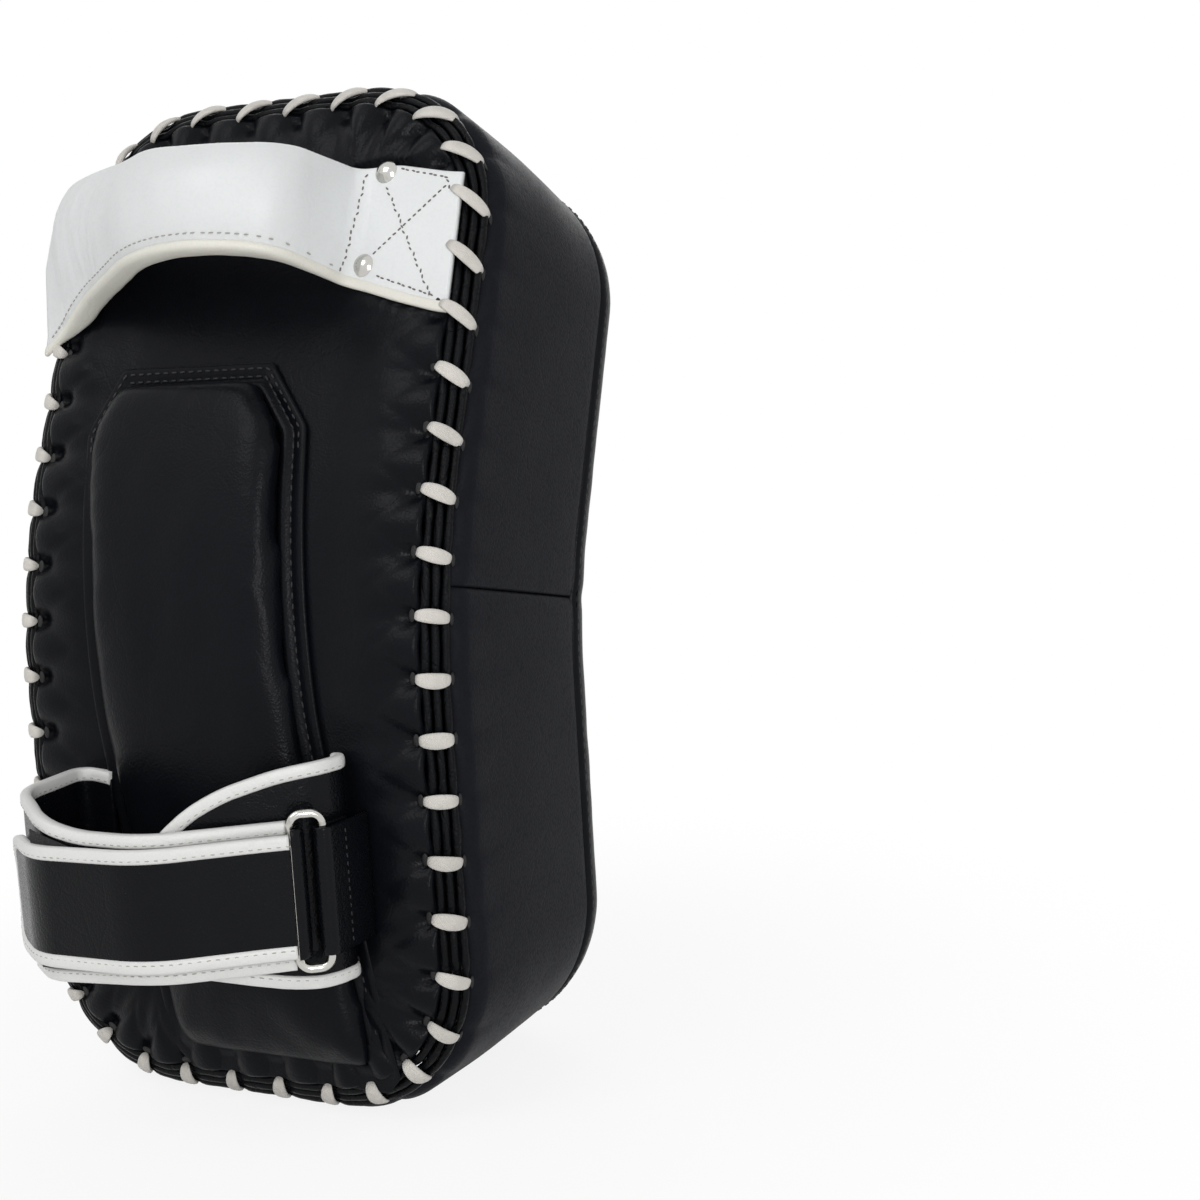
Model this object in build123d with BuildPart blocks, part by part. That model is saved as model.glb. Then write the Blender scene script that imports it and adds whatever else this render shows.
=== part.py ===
from build123d import *
import os
from math import atan2, cos, degrees, radians, sin

# Curved thai pad, standing on its lower end. Millimetres and degrees, +Z up.
# X runs across the pad, the strike face looks to -Y and the grip and arm strap are on +Y.
# The lower half stands upright and the upper half leans towards the strike face.

# Padded body
LENGTH = 400.0
WIDTH = 210.0
DEPTH = 120.0
LEAN = 21.0
BEND_RUN = 80.0
CORNER_RADIUS = 66.0
FACE_EDGE_RADIUS = 12.0
FACE_RIM = 16.0
LEATHER = 2.0
FIT = 0.3
STRIKE_FOAM = 24.0
BACK_FOAM = 20.0
BACK_EDGE_RADIUS = 7.0
BACK_EDGE_DROP = 8.4
WAIST_RUN = 201.5

# Printed target
TARGET_RUN = 200.0
TARGET_OUTER = 116.0
TARGET_RING_HOLE = 79.0
TARGET_DISC = 60.0
PRINT = 0.4

# Rolled edges and whip lacing round the back
ROLL_RADIUS = 1.75
ROLL_GAP = 0.3
GUSSET_ROLL_RISE = 38.0
PANEL_ROLL_RISE = 28.0
LACE_COUNT = 48
LACE_PHASE = 0.1
LACE_WIDTH = 5.4
LACE_THICKNESS = 1.7
LACE_SLANT = 5.0
LACE_SLANT_RISE = 1.6
LACE_SLANT_BASE = 0.4
LACE_RISE = 6.5
LACE_MARGIN = 0.9
LACE_HOLE_TURN = 53.0

# Raised forearm pad
FOREARM_WIDTH = 108.0
FOREARM_TOP_RUN = LENGTH * 0.7
FOREARM_BOTTOM_RUN = 19.0
FOREARM_TOP_CUT = 17.0
FOREARM_TOP_CUT_RUN = 27.0
FOREARM_BOTTOM_CUT = 7.0
FOREARM_HEIGHT = 15.0
FOREARM_EDGE_RADIUS = 5.0
CUT_DRAW = 0.4

# Hand grip: runs of its edges, then its side line as (across the pad, height off the back)
GRIP_LOW_MIDDLE = LENGTH - 89.0
GRIP_HIGH_MIDDLE = LENGTH - 35.0
GRIP_LOW_END = LENGTH - 104.0
GRIP_HIGH_END = LENGTH - 47.0
GRIP_LEATHER = 2.2
GRIP_FOAM = 5.0
GRIP_LINING = 1.4
GRIP_PIPING = 4.0
GRIP_TAB_START = 41.5
GRIP_SHOULDER = (32.0, 50.0)
GRIP_CREST = (-38.0, 54.0)
GRIP_LEFT_ROOT = 79.0
GRIP_BENDS = [8.0, 22.0, 60.0, 8.0]
RIVET_UPPER = (58.6, LENGTH - 44.5)
RIVET_LOWER = (53.5, LENGTH - 83.0)
RIVET_HEAD = 9.5
RIVET_POST = 4.0
RIVET_DOME = 2.2
RIVET_WASHER = 1.2

# Wire ring
RING_MIDDLE = 103.0
RING_WIRE = 3.4
RING_LENGTH = 59.0
RING_PITCH = 12.0
RING_CORNER = 4.5

# Arm strap: thicknesses, side line as (across, height) and edges as (across, run up the pad)
STRAP_LEATHER = 3.0
STRAP_REACH = 60.0
STRAP_SIDE = 75.0
STRAP_SHOULDERS = [(-72.0, 42.0), (-46.0, 60.0), (8.0, 62.0), (50.0, 31.2)]
STRAP_BENDS = [7.0, 22.0, 26.0, 40.0]
STRAP_LOW = [(-WIDTH / 2, 66.0), (-51.0, 68.0), (0.0, 72.0), (WIDTH / 2, 73.0)]
STRAP_HIGH = [(-WIDTH / 2, 141.0), (-56.0, 137.0), (-26.0, 129.0), (WIDTH / 2, 130.0)]
BINDING = 5.0
BINDING_LIP = 0.6
TAPE = 0.8
TAPE_GAP = 0.1
TAPE_MARGIN = 1.0
TAPE_LEFT = 46.0
TAPE_RIGHT = 30.0
FLAP_LEATHER = 2.4
FLAP_LOW = 79.0
FLAP_HIGH = 126.0
FLAP_DROOP = 3.0
FLAP_LEVEL_ACROSS = 50.0
FLAP_TURN = 0.6
FLAP_TIP_RADIUS = 18.0
FLAP_TIP_DROP = 20.0

# Keeper and tongue at the right side of the forearm pad
KEEPER_LEATHER = 1.8
KEEPER_OVERRUN = (1.6, 1.2)
KEEPER_RETURN = 0.42
KEEPER_BENDS = [4.0, 2.6, 2.6]
TONGUE_LEATHER = 2.4
TONGUE_OFFSET = (7.0, 3.0)
TONGUE_LINE = [19.8, (34.0, 36.0), (8.0, 51.6)]
TONGUE_BENDS = [5.0, 18.0, 30.0]
TONGUE_LOW = [(-WIDTH / 2, 73.0), (8.0, 73.0), (50.0, 62.0), (WIDTH / 2, 67.0)]
TONGUE_HIGH = [(-WIDTH / 2, 119.0), (8.0, 119.0), (40.0, 135.0), (WIDTH / 2, 146.0)]

STRAIGHT = (LENGTH - BEND_RUN) / 2
MID_RADIUS = BEND_RUN / radians(LEAN)
UP = Vector(0, -sin(radians(LEAN)), cos(radians(LEAN)))
OUT = Vector(0, cos(radians(LEAN)), sin(radians(LEAN)))


def profile_point(depth, run):
    """Point of the side profile, depth behind the strike face and run up the middle line."""
    radius = MID_RADIUS + depth - DEPTH / 2
    turn = min(max(run - STRAIGHT, 0), BEND_RUN) / MID_RADIUS
    before = min(run, STRAIGHT)
    after = max(run - STRAIGHT - BEND_RUN, 0)
    return (-MID_RADIUS + radius * cos(turn) - after * sin(turn),
            before + radius * sin(turn) + after * cos(turn))


def slab(front, back, inset, round_front=0, round_back=0, cut_back=0):
    """Layer of the bent body between two depths, with the pad's rounded end corners."""
    with BuildPart() as layer:
        with BuildSketch(Plane.YZ):
            with BuildLine():
                for depth in (front, back):
                    bottom = profile_point(depth, inset)
                    bend_start = profile_point(depth, STRAIGHT)
                    bend_middle = profile_point(depth, LENGTH / 2)
                    bend_end = profile_point(depth, LENGTH - STRAIGHT)
                    top = profile_point(depth, LENGTH - inset)
                    Line(bottom, bend_start)
                    ThreePointArc(bend_start, bend_middle, bend_end)
                    Line(bend_end, top)
                Line(profile_point(front, inset), profile_point(back, inset))
                Line(profile_point(front, LENGTH - inset), profile_point(back, LENGTH - inset))
            make_face()
        extrude(amount=WIDTH / 2 - inset, both=True)
        corners = layer.edges().filter_by(Axis.Y) + layer.edges().filter_by(Axis((0, 0, 0), OUT))
        fillet(corners, CORNER_RADIUS - inset)
        if round_front:
            fillet(rim(layer, front), round_front)
        if round_back:
            fillet(rim(layer, back), round_back)
        if cut_back:
            chamfer(rim(layer, back), cut_back)
    return layer.part


def rim(layer, depth):
    """Edges round one broad face of a layer: those whose middle lies at that depth and on the outline."""
    found = ShapeList()
    for edge in layer.edges():
        middle = edge.position_at(0.5)
        if abs(depth_of(middle) - depth) < 0.01 and not is_bend_line(edge):
            found.append(edge)
    return found


def depth_of(point):
    """Depth of a point behind the strike face."""
    if point.Z <= STRAIGHT:
        return point.Y + DEPTH / 2
    turn = atan2(point.Z - STRAIGHT, point.Y + MID_RADIUS)
    if turn <= radians(LEAN):
        return (Vector(0, point.Y + MID_RADIUS, point.Z - STRAIGHT)).length - MID_RADIUS + DEPTH / 2
    return OUT.dot(Vector(0, point.Y + MID_RADIUS, point.Z - STRAIGHT)) - MID_RADIUS + DEPTH / 2


def is_bend_line(edge):
    """True for a line that crosses a broad face where the bend starts or ends."""
    middle = edge.position_at(0.5)
    in_bend = STRAIGHT - 1 < middle.Z < LENGTH - CORNER_RADIUS
    return edge.geom_type == GeomType.LINE and abs(middle.X) < 1 and in_bend


def outline_route(depth, inset):
    """Closed line round the body at one depth and one distance inside its outline."""
    radius = CORNER_RADIUS - inset
    side = WIDTH / 2 - inset
    flat = WIDTH / 2 - CORNER_RADIUS
    knee = radius * sin(radians(45))

    def spot(x, run):
        return Vector(x, *profile_point(depth, run))

    with BuildLine() as route:
        Line(spot(-flat, inset), spot(flat, inset))
        ThreePointArc(spot(flat, inset), spot(flat + knee, CORNER_RADIUS - knee), spot(side, CORNER_RADIUS))
        Line(spot(side, CORNER_RADIUS), spot(side, STRAIGHT))
        ThreePointArc(spot(side, STRAIGHT), spot(side, LENGTH / 2), spot(side, LENGTH - STRAIGHT))
        Line(spot(side, LENGTH - STRAIGHT), spot(side, LENGTH - CORNER_RADIUS))
        ThreePointArc(
            spot(side, LENGTH - CORNER_RADIUS),
            spot(flat + knee, LENGTH - CORNER_RADIUS + knee),
            spot(flat, LENGTH - inset),
        )
        Line(spot(flat, LENGTH - inset), spot(-flat, LENGTH - inset))
        ThreePointArc(
            spot(-flat, LENGTH - inset),
            spot(-flat - knee, LENGTH - CORNER_RADIUS + knee),
            spot(-side, LENGTH - CORNER_RADIUS),
        )
        Line(spot(-side, LENGTH - CORNER_RADIUS), spot(-side, LENGTH - STRAIGHT))
        ThreePointArc(spot(-side, LENGTH - STRAIGHT), spot(-side, LENGTH / 2), spot(-side, STRAIGHT))
        Line(spot(-side, STRAIGHT), spot(-side, CORNER_RADIUS))
        ThreePointArc(
            spot(-side, CORNER_RADIUS),
            spot(-flat - knee, CORNER_RADIUS - knee),
            spot(-flat, inset),
        )
    return route.wires()[0]


def shifted(points, shift):
    """Corner points of a bent line moved sideways, to the left of its run."""
    runs = [(after - before).normalized() for before, after in zip(points, points[1:])]
    sides = [Vector(-run.Y, run.X) for run in runs]
    moved = [points[0] + sides[0] * shift]
    for corner, before, after in zip(points[1:-1], sides, sides[1:]):
        moved.append(corner + (before + after) * (shift / (1 + before.dot(after))))
    moved.append(points[-1] + sides[-1] * shift)
    return moved


def shifted_radii(points, radii, shift):
    """Bend radii of the same line after that move: smaller inside each turn, larger outside."""
    runs = [(after - before).normalized() for before, after in zip(points, points[1:])]
    turns = [1 if before.cross(after).Z > 0 else -1 for before, after in zip(runs, runs[1:])]
    return [radius - shift * turn for radius, turn in zip(radii, turns)]


def band(plane, points, radii, left, right, half_width):
    """Strap of even thickness along a bent line, its faces left and right of the line."""
    corners = [Vector(*point) for point in points]
    with BuildPart() as strap:
        with BuildSketch(plane):
            with BuildLine():
                one = FilletPolyline(*shifted(corners, left), radius=shifted_radii(corners, radii, left))
                two = FilletPolyline(*shifted(corners, right), radius=shifted_radii(corners, radii, right))
                Line(one @ 0, two @ 0)
                Line(one @ 1, two @ 1)
            make_face()
        extrude(amount=half_width, both=True)
    return strap.part


def prism(plane, points, front, back, rounds=()):
    """Block over a plan outline between two heights above a plane, some corners rounded."""
    with BuildPart() as block:
        with BuildSketch(plane.offset(front)) as plan:
            with BuildLine():
                Polyline(*points, close=True)
            make_face()
            for point, radius in rounds:
                fillet(plan.vertices().sort_by_distance(Vector(*point))[0], radius)
        extrude(amount=back - front)
    return block.part


# ---------------------------------------------------------------------------- padded body
back_limit = DEPTH - LEATHER - FIT
gusset_back = DEPTH - BACK_EDGE_DROP
strike_foam_back = LEATHER + FIT + STRIKE_FOAM
core_back = back_limit - BACK_FOAM
inner_inset = LEATHER + FIT

# Strike panel: one leather tray whose rounded rim meets the gusset.
with BuildPart() as strike_panel:
    add(slab(0, FACE_RIM, 0, round_front=FACE_EDGE_RADIUS))
    add(slab(LEATHER, FACE_RIM + FIT, LEATHER, round_front=FACE_EDGE_RADIUS - LEATHER), mode=Mode.SUBTRACT)

# Printed target: a ring and a disc that lie on the curved strike panel.
target_height = profile_point(0, TARGET_RUN)[1]
target_plane = Plane(origin=(0, -DEPTH, target_height), x_dir=(1, 0, 0), z_dir=(0, -1, 0))
print_skin = slab(-PRINT - FIT / 2, -FIT / 2, FACE_EDGE_RADIUS)
with BuildPart() as target_ring:
    with BuildSketch(target_plane):
        Circle(TARGET_OUTER / 2)
        Circle(TARGET_RING_HOLE / 2, mode=Mode.SUBTRACT)
    extrude(amount=-DEPTH)
    add(print_skin, mode=Mode.INTERSECT)
with BuildPart() as target_disc:
    with BuildSketch(target_plane):
        Circle(TARGET_DISC / 2)
    extrude(amount=-DEPTH)
    add(print_skin, mode=Mode.INTERSECT)

# Gusset: the side wall in two lengths, joined by a seam at each side of the waist.
with BuildPart() as gusset:
    add(slab(FACE_RIM + FIT, gusset_back, 0, round_back=BACK_EDGE_RADIUS))
    add(
        slab(FACE_RIM, gusset_back - LEATHER, LEATHER, round_back=BACK_EDGE_RADIUS - LEATHER),
        mode=Mode.SUBTRACT,
    )
    # the rolled-in back edge leaves the back open
    add(
        slab(gusset_back - LEATHER - FIT, gusset_back + FIT, BACK_EDGE_RADIUS - LEATHER),
        mode=Mode.SUBTRACT,
    )
waist_turn = (WAIST_RUN - STRAIGHT) / MID_RADIUS
waist_normal = (0, -sin(waist_turn), cos(waist_turn))
waist = Plane(origin=(0, *profile_point(DEPTH / 2, WAIST_RUN)), x_dir=(1, 0, 0), z_dir=waist_normal)
with BuildPart() as gusset_upper:
    add(gusset.part)
    split(bisect_by=waist.offset(FIT / 2), keep=Keep.TOP)
with BuildPart() as gusset_lower:
    add(gusset.part)
    split(bisect_by=waist.offset(-FIT / 2), keep=Keep.BOTTOM)

# Places of the rolls in the corner between gusset and back panel.
roll_pitch = 2 * ROLL_RADIUS + ROLL_GAP
lace_room = LACE_THICKNESS + 2 * FIT + LACE_MARGIN
gusset_roll_inset = lace_room + ROLL_RADIUS
gusset_roll_drop = BACK_EDGE_DROP - ROLL_RADIUS
welt_inset = gusset_roll_inset + roll_pitch * cos(radians(GUSSET_ROLL_RISE))
welt_drop = gusset_roll_drop - roll_pitch * sin(radians(GUSSET_ROLL_RISE))
panel_roll_inset = welt_inset + roll_pitch * cos(radians(PANEL_ROLL_RISE))
panel_roll_drop = welt_drop - roll_pitch * sin(radians(PANEL_ROLL_RISE))
panel_inset = panel_roll_inset + ROLL_RADIUS + FIT
with BuildPart() as back_panel:
    add(slab(DEPTH - LEATHER, DEPTH, panel_inset))


# Rolled edges: the gusset's turned edge, the corded welt and the back panel's turned edge.
def roll(inset, drop):
    """Leather roll that runs all the way round the back at one inset and one drop below the panel."""
    route = outline_route(DEPTH - drop, inset)
    with BuildPart() as bead:
        with BuildSketch(Plane(origin=route @ 0, z_dir=route % 0)):
            Circle(ROLL_RADIUS)
        sweep(path=route)
    return bead.part


with BuildPart() as gusset_edge_roll:
    add(roll(gusset_roll_inset, gusset_roll_drop))
with BuildPart() as corded_welt:
    add(roll(welt_inset, welt_drop))
with BuildPart() as back_panel_edge_roll:
    add(roll(panel_roll_inset, panel_roll_drop))

# Foam: a soft strike layer, a dense core and a stiff back layer cut away behind the rolls.
roll_limit = max(
    gusset_roll_inset + gusset_roll_drop, welt_inset + welt_drop, panel_roll_inset + panel_roll_drop
)
foam_cut = roll_limit + (ROLL_RADIUS + FIT) / cos(radians(45)) - inner_inset - LEATHER - FIT
with BuildPart() as foam_strike_layer:
    add(slab(LEATHER + FIT, strike_foam_back, inner_inset, round_front=FACE_EDGE_RADIUS - LEATHER))
with BuildPart() as foam_core:
    add(slab(strike_foam_back, core_back, inner_inset))
with BuildPart() as foam_back_layer:
    add(slab(core_back, back_limit, inner_inset, cut_back=foam_cut))

# Planes on the back: upright for the lower half, leaning for the upper half.
# In both, X is to the right as seen from behind, Y is up the pad and Z stands off the panel.
BACK = Plane(origin=(0, DEPTH / 2, 0), x_dir=(-1, 0, 0), z_dir=(0, 1, 0))
upper_start = Vector(0, *profile_point(DEPTH, LENGTH - STRAIGHT)) - UP * (LENGTH - STRAIGHT)
UPPER = Plane(origin=upper_start, x_dir=(-1, 0, 0), z_dir=OUT)

# ---------------------------------------------------------------------------- forearm pad
forearm_top = profile_point(DEPTH, FOREARM_TOP_RUN)[1]
forearm_cut = profile_point(DEPTH, FOREARM_TOP_RUN - FOREARM_TOP_CUT_RUN)[1]


def forearm_block(inset, height, rounding=0):
    """Long block with cut corners that follows the bend of the back."""
    side = FOREARM_WIDTH / 2 - inset
    shoulder = side - FOREARM_TOP_CUT + inset * CUT_DRAW
    foot = side - FOREARM_BOTTOM_CUT + inset * CUT_DRAW
    low = FOREARM_BOTTOM_RUN + inset
    outline = [
        (-foot, low),
        (foot, low),
        (side, low + FOREARM_BOTTOM_CUT),
        (side, forearm_cut),
        (shoulder, forearm_top - inset),
        (-shoulder, forearm_top - inset),
        (-side, forearm_cut),
        (-side, low + FOREARM_BOTTOM_CUT),
    ]
    top = DEPTH + FIT + height
    with BuildPart() as block:
        add(slab(DEPTH + FIT, top, 0))
        add(prism(BACK, outline, -DEPTH, DEPTH), mode=Mode.INTERSECT)
        if rounding:
            outer = ShapeList(
                edge
                for edge in block.edges()
                if abs(depth_of(edge.position_at(0.5)) - top) < 0.01 and not is_bend_line(edge)
            )
            fillet(outer, rounding)
    return block.part


with BuildPart() as forearm_pad_cover:
    add(forearm_block(0, FOREARM_HEIGHT, FOREARM_EDGE_RADIUS))
    add(
        forearm_block(LEATHER, FOREARM_HEIGHT - LEATHER, FOREARM_EDGE_RADIUS - LEATHER),
        mode=Mode.SUBTRACT,
    )
with BuildPart() as forearm_pad_foam:
    add(forearm_block(LEATHER + FIT, FOREARM_HEIGHT - LEATHER - FIT, FOREARM_EDGE_RADIUS - LEATHER))

# ---------------------------------------------------------------------------- whip lacing
gusset_hole_turn = radians(LACE_HOLE_TURN)
lace_lift = LACE_THICKNESS / 2 + FIT
lace_start = Vector(panel_inset + LACE_WIDTH / 2, lace_lift)
lace_end = Vector(
    BACK_EDGE_RADIUS - (BACK_EDGE_RADIUS + lace_lift) * cos(gusset_hole_turn),
    (BACK_EDGE_RADIUS + lace_lift) * sin(gusset_hole_turn) - BACK_EDGE_DROP - BACK_EDGE_RADIUS,
)


def depth_direction(point):
    """Direction straight out of the back at a point of the outline."""
    turn = min(max(atan2(point.Z - STRAIGHT, point.Y + MID_RADIUS), 0), radians(LEAN))
    return Vector(0, cos(turn), sin(turn))


def stitch(route, share, start):
    """One lace stitch over the rolls: share places it round the outline, start is its inner end."""
    spot = route @ share
    along = route % share
    out = depth_direction(spot)
    inward = along.cross(out)
    slant = LACE_SLANT * (LACE_SLANT_RISE * spot.Z / LENGTH - LACE_SLANT_BASE)
    chord = lace_end - start
    middle = (start + lace_end) / 2 + Vector(chord.Y, -chord.X).normalized() * LACE_RISE

    def place(section_point, shift):
        return spot + inward * (section_point.X - gusset_roll_inset) + out * section_point.Y + along * shift

    first, top, last = place(start, -slant / 2), place(middle, 0), place(lace_end, slant / 2)
    across = (top - first).cross(last - first)
    with BuildPart() as loop:
        with BuildLine() as path:
            ThreePointArc(first, top, last)
        with BuildSketch(Plane(origin=first, x_dir=across, z_dir=path.line % 0)):
            RectangleRounded(LACE_WIDTH, LACE_THICKNESS, LACE_THICKNESS / 3)
        sweep(path=path.line)
    return loop.part


tab_lift = GRIP_LEATHER + FIT
lace_route = outline_route(DEPTH, gusset_roll_inset)


def grip_edge(across, middle, end):
    """Run of a bowed edge of the grip at a distance across the pad."""
    return middle - (middle - end) * (across / (WIDTH / 2)) ** 2


def stitch_lift(share):
    """Extra height of a stitch's inner end: it stands on the grip's tabs where they lie under it."""
    spot = lace_route @ share
    inward = (lace_route % share).cross(depth_direction(spot))
    hole = UPPER.to_local_coords(spot + inward * (lace_start.X - gusset_roll_inset))
    low = grip_edge(hole.X, GRIP_LOW_MIDDLE, GRIP_LOW_END)
    high = grip_edge(hole.X, GRIP_HIGH_MIDDLE, GRIP_HIGH_END)
    reach = (LACE_WIDTH + LACE_SLANT) / 2 + FIT
    return tab_lift if low - reach < hole.Y < high + reach else 0


with BuildPart() as edge_lace:
    for number in range(LACE_COUNT):
        share = (number + LACE_PHASE) / LACE_COUNT
        add(stitch(lace_route, share, lace_start + Vector(0, stitch_lift(share))))

# ---------------------------------------------------------------------------- hand grip
# The grip's side view is drawn in a plane across the pad; its plan in the plane of the upper back.
grip_middle = (GRIP_LOW_MIDDLE + GRIP_HIGH_MIDDLE) / 2
GRIP_SIDE = Plane(origin=UPPER.origin + UP * grip_middle, x_dir=(-1, 0, 0), z_dir=-UP)
grip_line = [
    (WIDTH, FIT),
    (GRIP_TAB_START, FIT),
    GRIP_SHOULDER,
    GRIP_CREST,
    (-GRIP_LEFT_ROOT, FIT),
    (-WIDTH, FIT),
]


def grip_plan(low_gap, high_gap):
    """Bowed outline of the grip seen from behind, drawn in from its lower and upper edges."""
    reach = WIDTH / 2
    with BuildPart() as block:
        with BuildSketch(UPPER):
            with BuildLine():
                low = ThreePointArc(
                    (-reach, GRIP_LOW_END + low_gap),
                    (0, GRIP_LOW_MIDDLE + low_gap),
                    (reach, GRIP_LOW_END + low_gap),
                )
                high = ThreePointArc(
                    (-reach, GRIP_HIGH_END - high_gap),
                    (0, GRIP_HIGH_MIDDLE - high_gap),
                    (reach, GRIP_HIGH_END - high_gap),
                )
                Line(low @ 0, high @ 0)
                Line(low @ 1, high @ 1)
            make_face()
        extrude(amount=WIDTH)
    return block.part


def grip_layer(inner, outer, plan):
    """One layer of the grip between two distances inside its outer leather's back, above the panel."""
    with BuildPart() as layer:
        add(band(GRIP_SIDE, grip_line, GRIP_BENDS, inner, outer, LENGTH / 4))
        add(plan, mode=Mode.INTERSECT)
        add(slab(DEPTH + FIT, DEPTH + WIDTH, panel_inset), mode=Mode.INTERSECT)
    return layer.part


foam_inner = FIT + GRIP_FOAM
lining_outer = foam_inner + FIT
lining_inner = lining_outer + GRIP_LINING
whole_plan = grip_plan(GRIP_PIPING + FIT, 0)
foam_plan = grip_plan(GRIP_PIPING + FIT, GRIP_LEATHER)
piping_plan = grip_plan(0, 0)
with BuildPart() as grip_outer:
    add(grip_layer(0, -GRIP_LEATHER, whole_plan))
with BuildPart() as grip_foam:
    add(grip_layer(foam_inner, FIT, foam_plan))
with BuildPart() as grip_lining:
    add(grip_layer(lining_inner, lining_outer, whole_plan))
with BuildPart() as grip_piping:
    add(grip_layer(lining_inner, -GRIP_LEATHER, piping_plan))
    add(grip_plan(GRIP_PIPING, 0), mode=Mode.SUBTRACT)

# Two tubular rivets hold the wide tab: domed cap, post through leather and panel, washer behind.
RIVETS = {"upper": RIVET_UPPER, "lower": RIVET_LOWER}
cap_base = FIT + GRIP_LEATHER
post_end = -LEATHER - RIVET_WASHER
dome_radius = (RIVET_DOME**2 + (RIVET_HEAD / 2) ** 2) / (2 * RIVET_DOME)
with BuildPart() as rivet:
    with BuildSketch(Plane.XZ):
        with BuildLine():
            Polyline(
                (0, cap_base + RIVET_DOME),
                (0, post_end),
                (RIVET_POST / 2, post_end),
                (RIVET_POST / 2, cap_base),
                (RIVET_HEAD / 2, cap_base),
            )
            RadiusArc((RIVET_HEAD / 2, cap_base), (0, cap_base + RIVET_DOME), -dome_radius)
        make_face()
    revolve(axis=Axis.Z)
with BuildPart() as rivet_washer:
    with BuildSketch(Plane.XY.offset(post_end)):
        Circle(RIVET_HEAD / 2)
        Circle(RIVET_POST / 2 + FIT, mode=Mode.SUBTRACT)
    extrude(amount=RIVET_WASHER)
rivet_spots = {
    name: Plane(origin=UPPER.from_local_coords(Vector(across, run, 0)), x_dir=(-1, 0, 0), z_dir=OUT)
    for name, (across, run) in RIVETS.items()
}
with BuildPart() as grip_rivet_upper:
    add(rivet.part.moved(rivet_spots["upper"].location))
with BuildPart() as grip_rivet_lower:
    add(rivet.part.moved(rivet_spots["lower"].location))
with BuildPart() as rivet_washer_upper:
    add(rivet_washer.part.moved(rivet_spots["upper"].location))
with BuildPart() as rivet_washer_lower:
    add(rivet_washer.part.moved(rivet_spots["lower"].location))
for spot in rivet_spots.values():
    with grip_outer:
        with BuildSketch(spot):
            Circle(RIVET_POST / 2 + FIT)
        extrude(amount=GRIP_LEATHER * 2, mode=Mode.SUBTRACT)
    with back_panel:
        with BuildSketch(spot.offset(-LEATHER * 2)):
            Circle(RIVET_POST / 2 + FIT)
        extrude(amount=LEATHER * 3, mode=Mode.SUBTRACT)
    with foam_back_layer:
        with BuildSketch(spot.offset(-LEATHER - RIVET_WASHER - FIT)):
            Circle(RIVET_HEAD / 2 + FIT)
        extrude(amount=LEATHER + RIVET_WASHER, mode=Mode.SUBTRACT)

# ---------------------------------------------------------------------------- arm strap and ring
# Seen from above, X runs to the right as seen from behind and Y stands off the back panel.
ROUND = Plane(origin=(0, DEPTH / 2, RING_MIDDLE), x_dir=(-1, 0, 0), z_dir=(0, 0, -1))
forearm_side = FOREARM_WIDTH / 2 + FIT
strap_half = STRAP_LEATHER / 2
strap_seat = FIT + strap_half + BINDING_LIP
strap_line = [(-forearm_side - FIT, strap_seat), (-STRAP_SIDE, strap_seat), *STRAP_SHOULDERS]
strap_end = Vector(*strap_line[-1])
strap_run = (strap_end - Vector(*strap_line[-2])).normalized()
strap_out = Vector(-strap_run.Y, strap_run.X)
fold_radius = RING_WIRE / 2 + FIT + BINDING_LIP + FLAP_LEATHER / 2
free_bar = strap_end + strap_run * (4 * FIT) + strap_out * fold_radius
kept_bar = free_bar + strap_run * RING_PITCH


def strap_plan(low, high, inset):
    """Outline of a strap seen from behind: lower and upper edges drawn in by the same inset."""
    outline = [(x, z + inset) for x, z in low] + [(x, z - inset) for x, z in reversed(high)]
    return prism(BACK, outline, 0, WIDTH)


# Base of the strap, sewn into the seam at the left side of the forearm pad.
with BuildPart() as strap_base:
    add(band(ROUND, strap_line, STRAP_BENDS, strap_half, -strap_half, STRAP_REACH))
    add(strap_plan(STRAP_LOW, STRAP_HIGH, BINDING), mode=Mode.INTERSECT)
strap_lip = strap_half + BINDING_LIP
with BuildPart() as strap_base_binding:
    add(band(ROUND, strap_line, STRAP_BENDS, strap_lip, -strap_lip, STRAP_REACH))
    add(strap_plan(STRAP_LOW, STRAP_HIGH, 0), mode=Mode.INTERSECT)
    add(strap_plan(STRAP_LOW, STRAP_HIGH, BINDING - FIT / 2), mode=Mode.SUBTRACT)

# Loop tape on the outer face of the base, under the flap.
tape_corners = [(-TAPE_LEFT, 0), (TAPE_RIGHT, 0), (TAPE_RIGHT, LENGTH), (-TAPE_LEFT, LENGTH)]
tape_window = prism(BACK, tape_corners, 0, WIDTH)
loop_back = strap_half + TAPE_GAP
with BuildPart() as loop_tape:
    add(band(ROUND, strap_line, STRAP_BENDS, loop_back + TAPE, loop_back, STRAP_REACH))
    add(strap_plan(STRAP_LOW, STRAP_HIGH, BINDING + TAPE_MARGIN), mode=Mode.INTERSECT)
    add(tape_window, mode=Mode.INTERSECT)

# Wire ring: a rounded rectangle whose kept bar lies in the keeper and free bar in the strap's fold.
ring_centre = (free_bar + kept_bar) / 2
RING = Plane(
    origin=ROUND.from_local_coords(ring_centre),
    x_dir=ROUND.from_local_coords(ring_centre + strap_run) - ROUND.from_local_coords(ring_centre),
    z_dir=ROUND.from_local_coords(ring_centre + strap_out) - ROUND.from_local_coords(ring_centre),
)
with BuildPart() as strap_ring:
    with BuildSketch(RING, mode=Mode.PRIVATE) as ring_shape:
        RectangleRounded(RING_PITCH, RING_LENGTH, RING_CORNER)
    ring_path = ring_shape.sketch.face().outer_wire()
    with BuildSketch(Plane(origin=ring_path @ 0, z_dir=ring_path % 0)):
        Circle(RING_WIRE / 2)
    sweep(path=ring_path)

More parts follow.
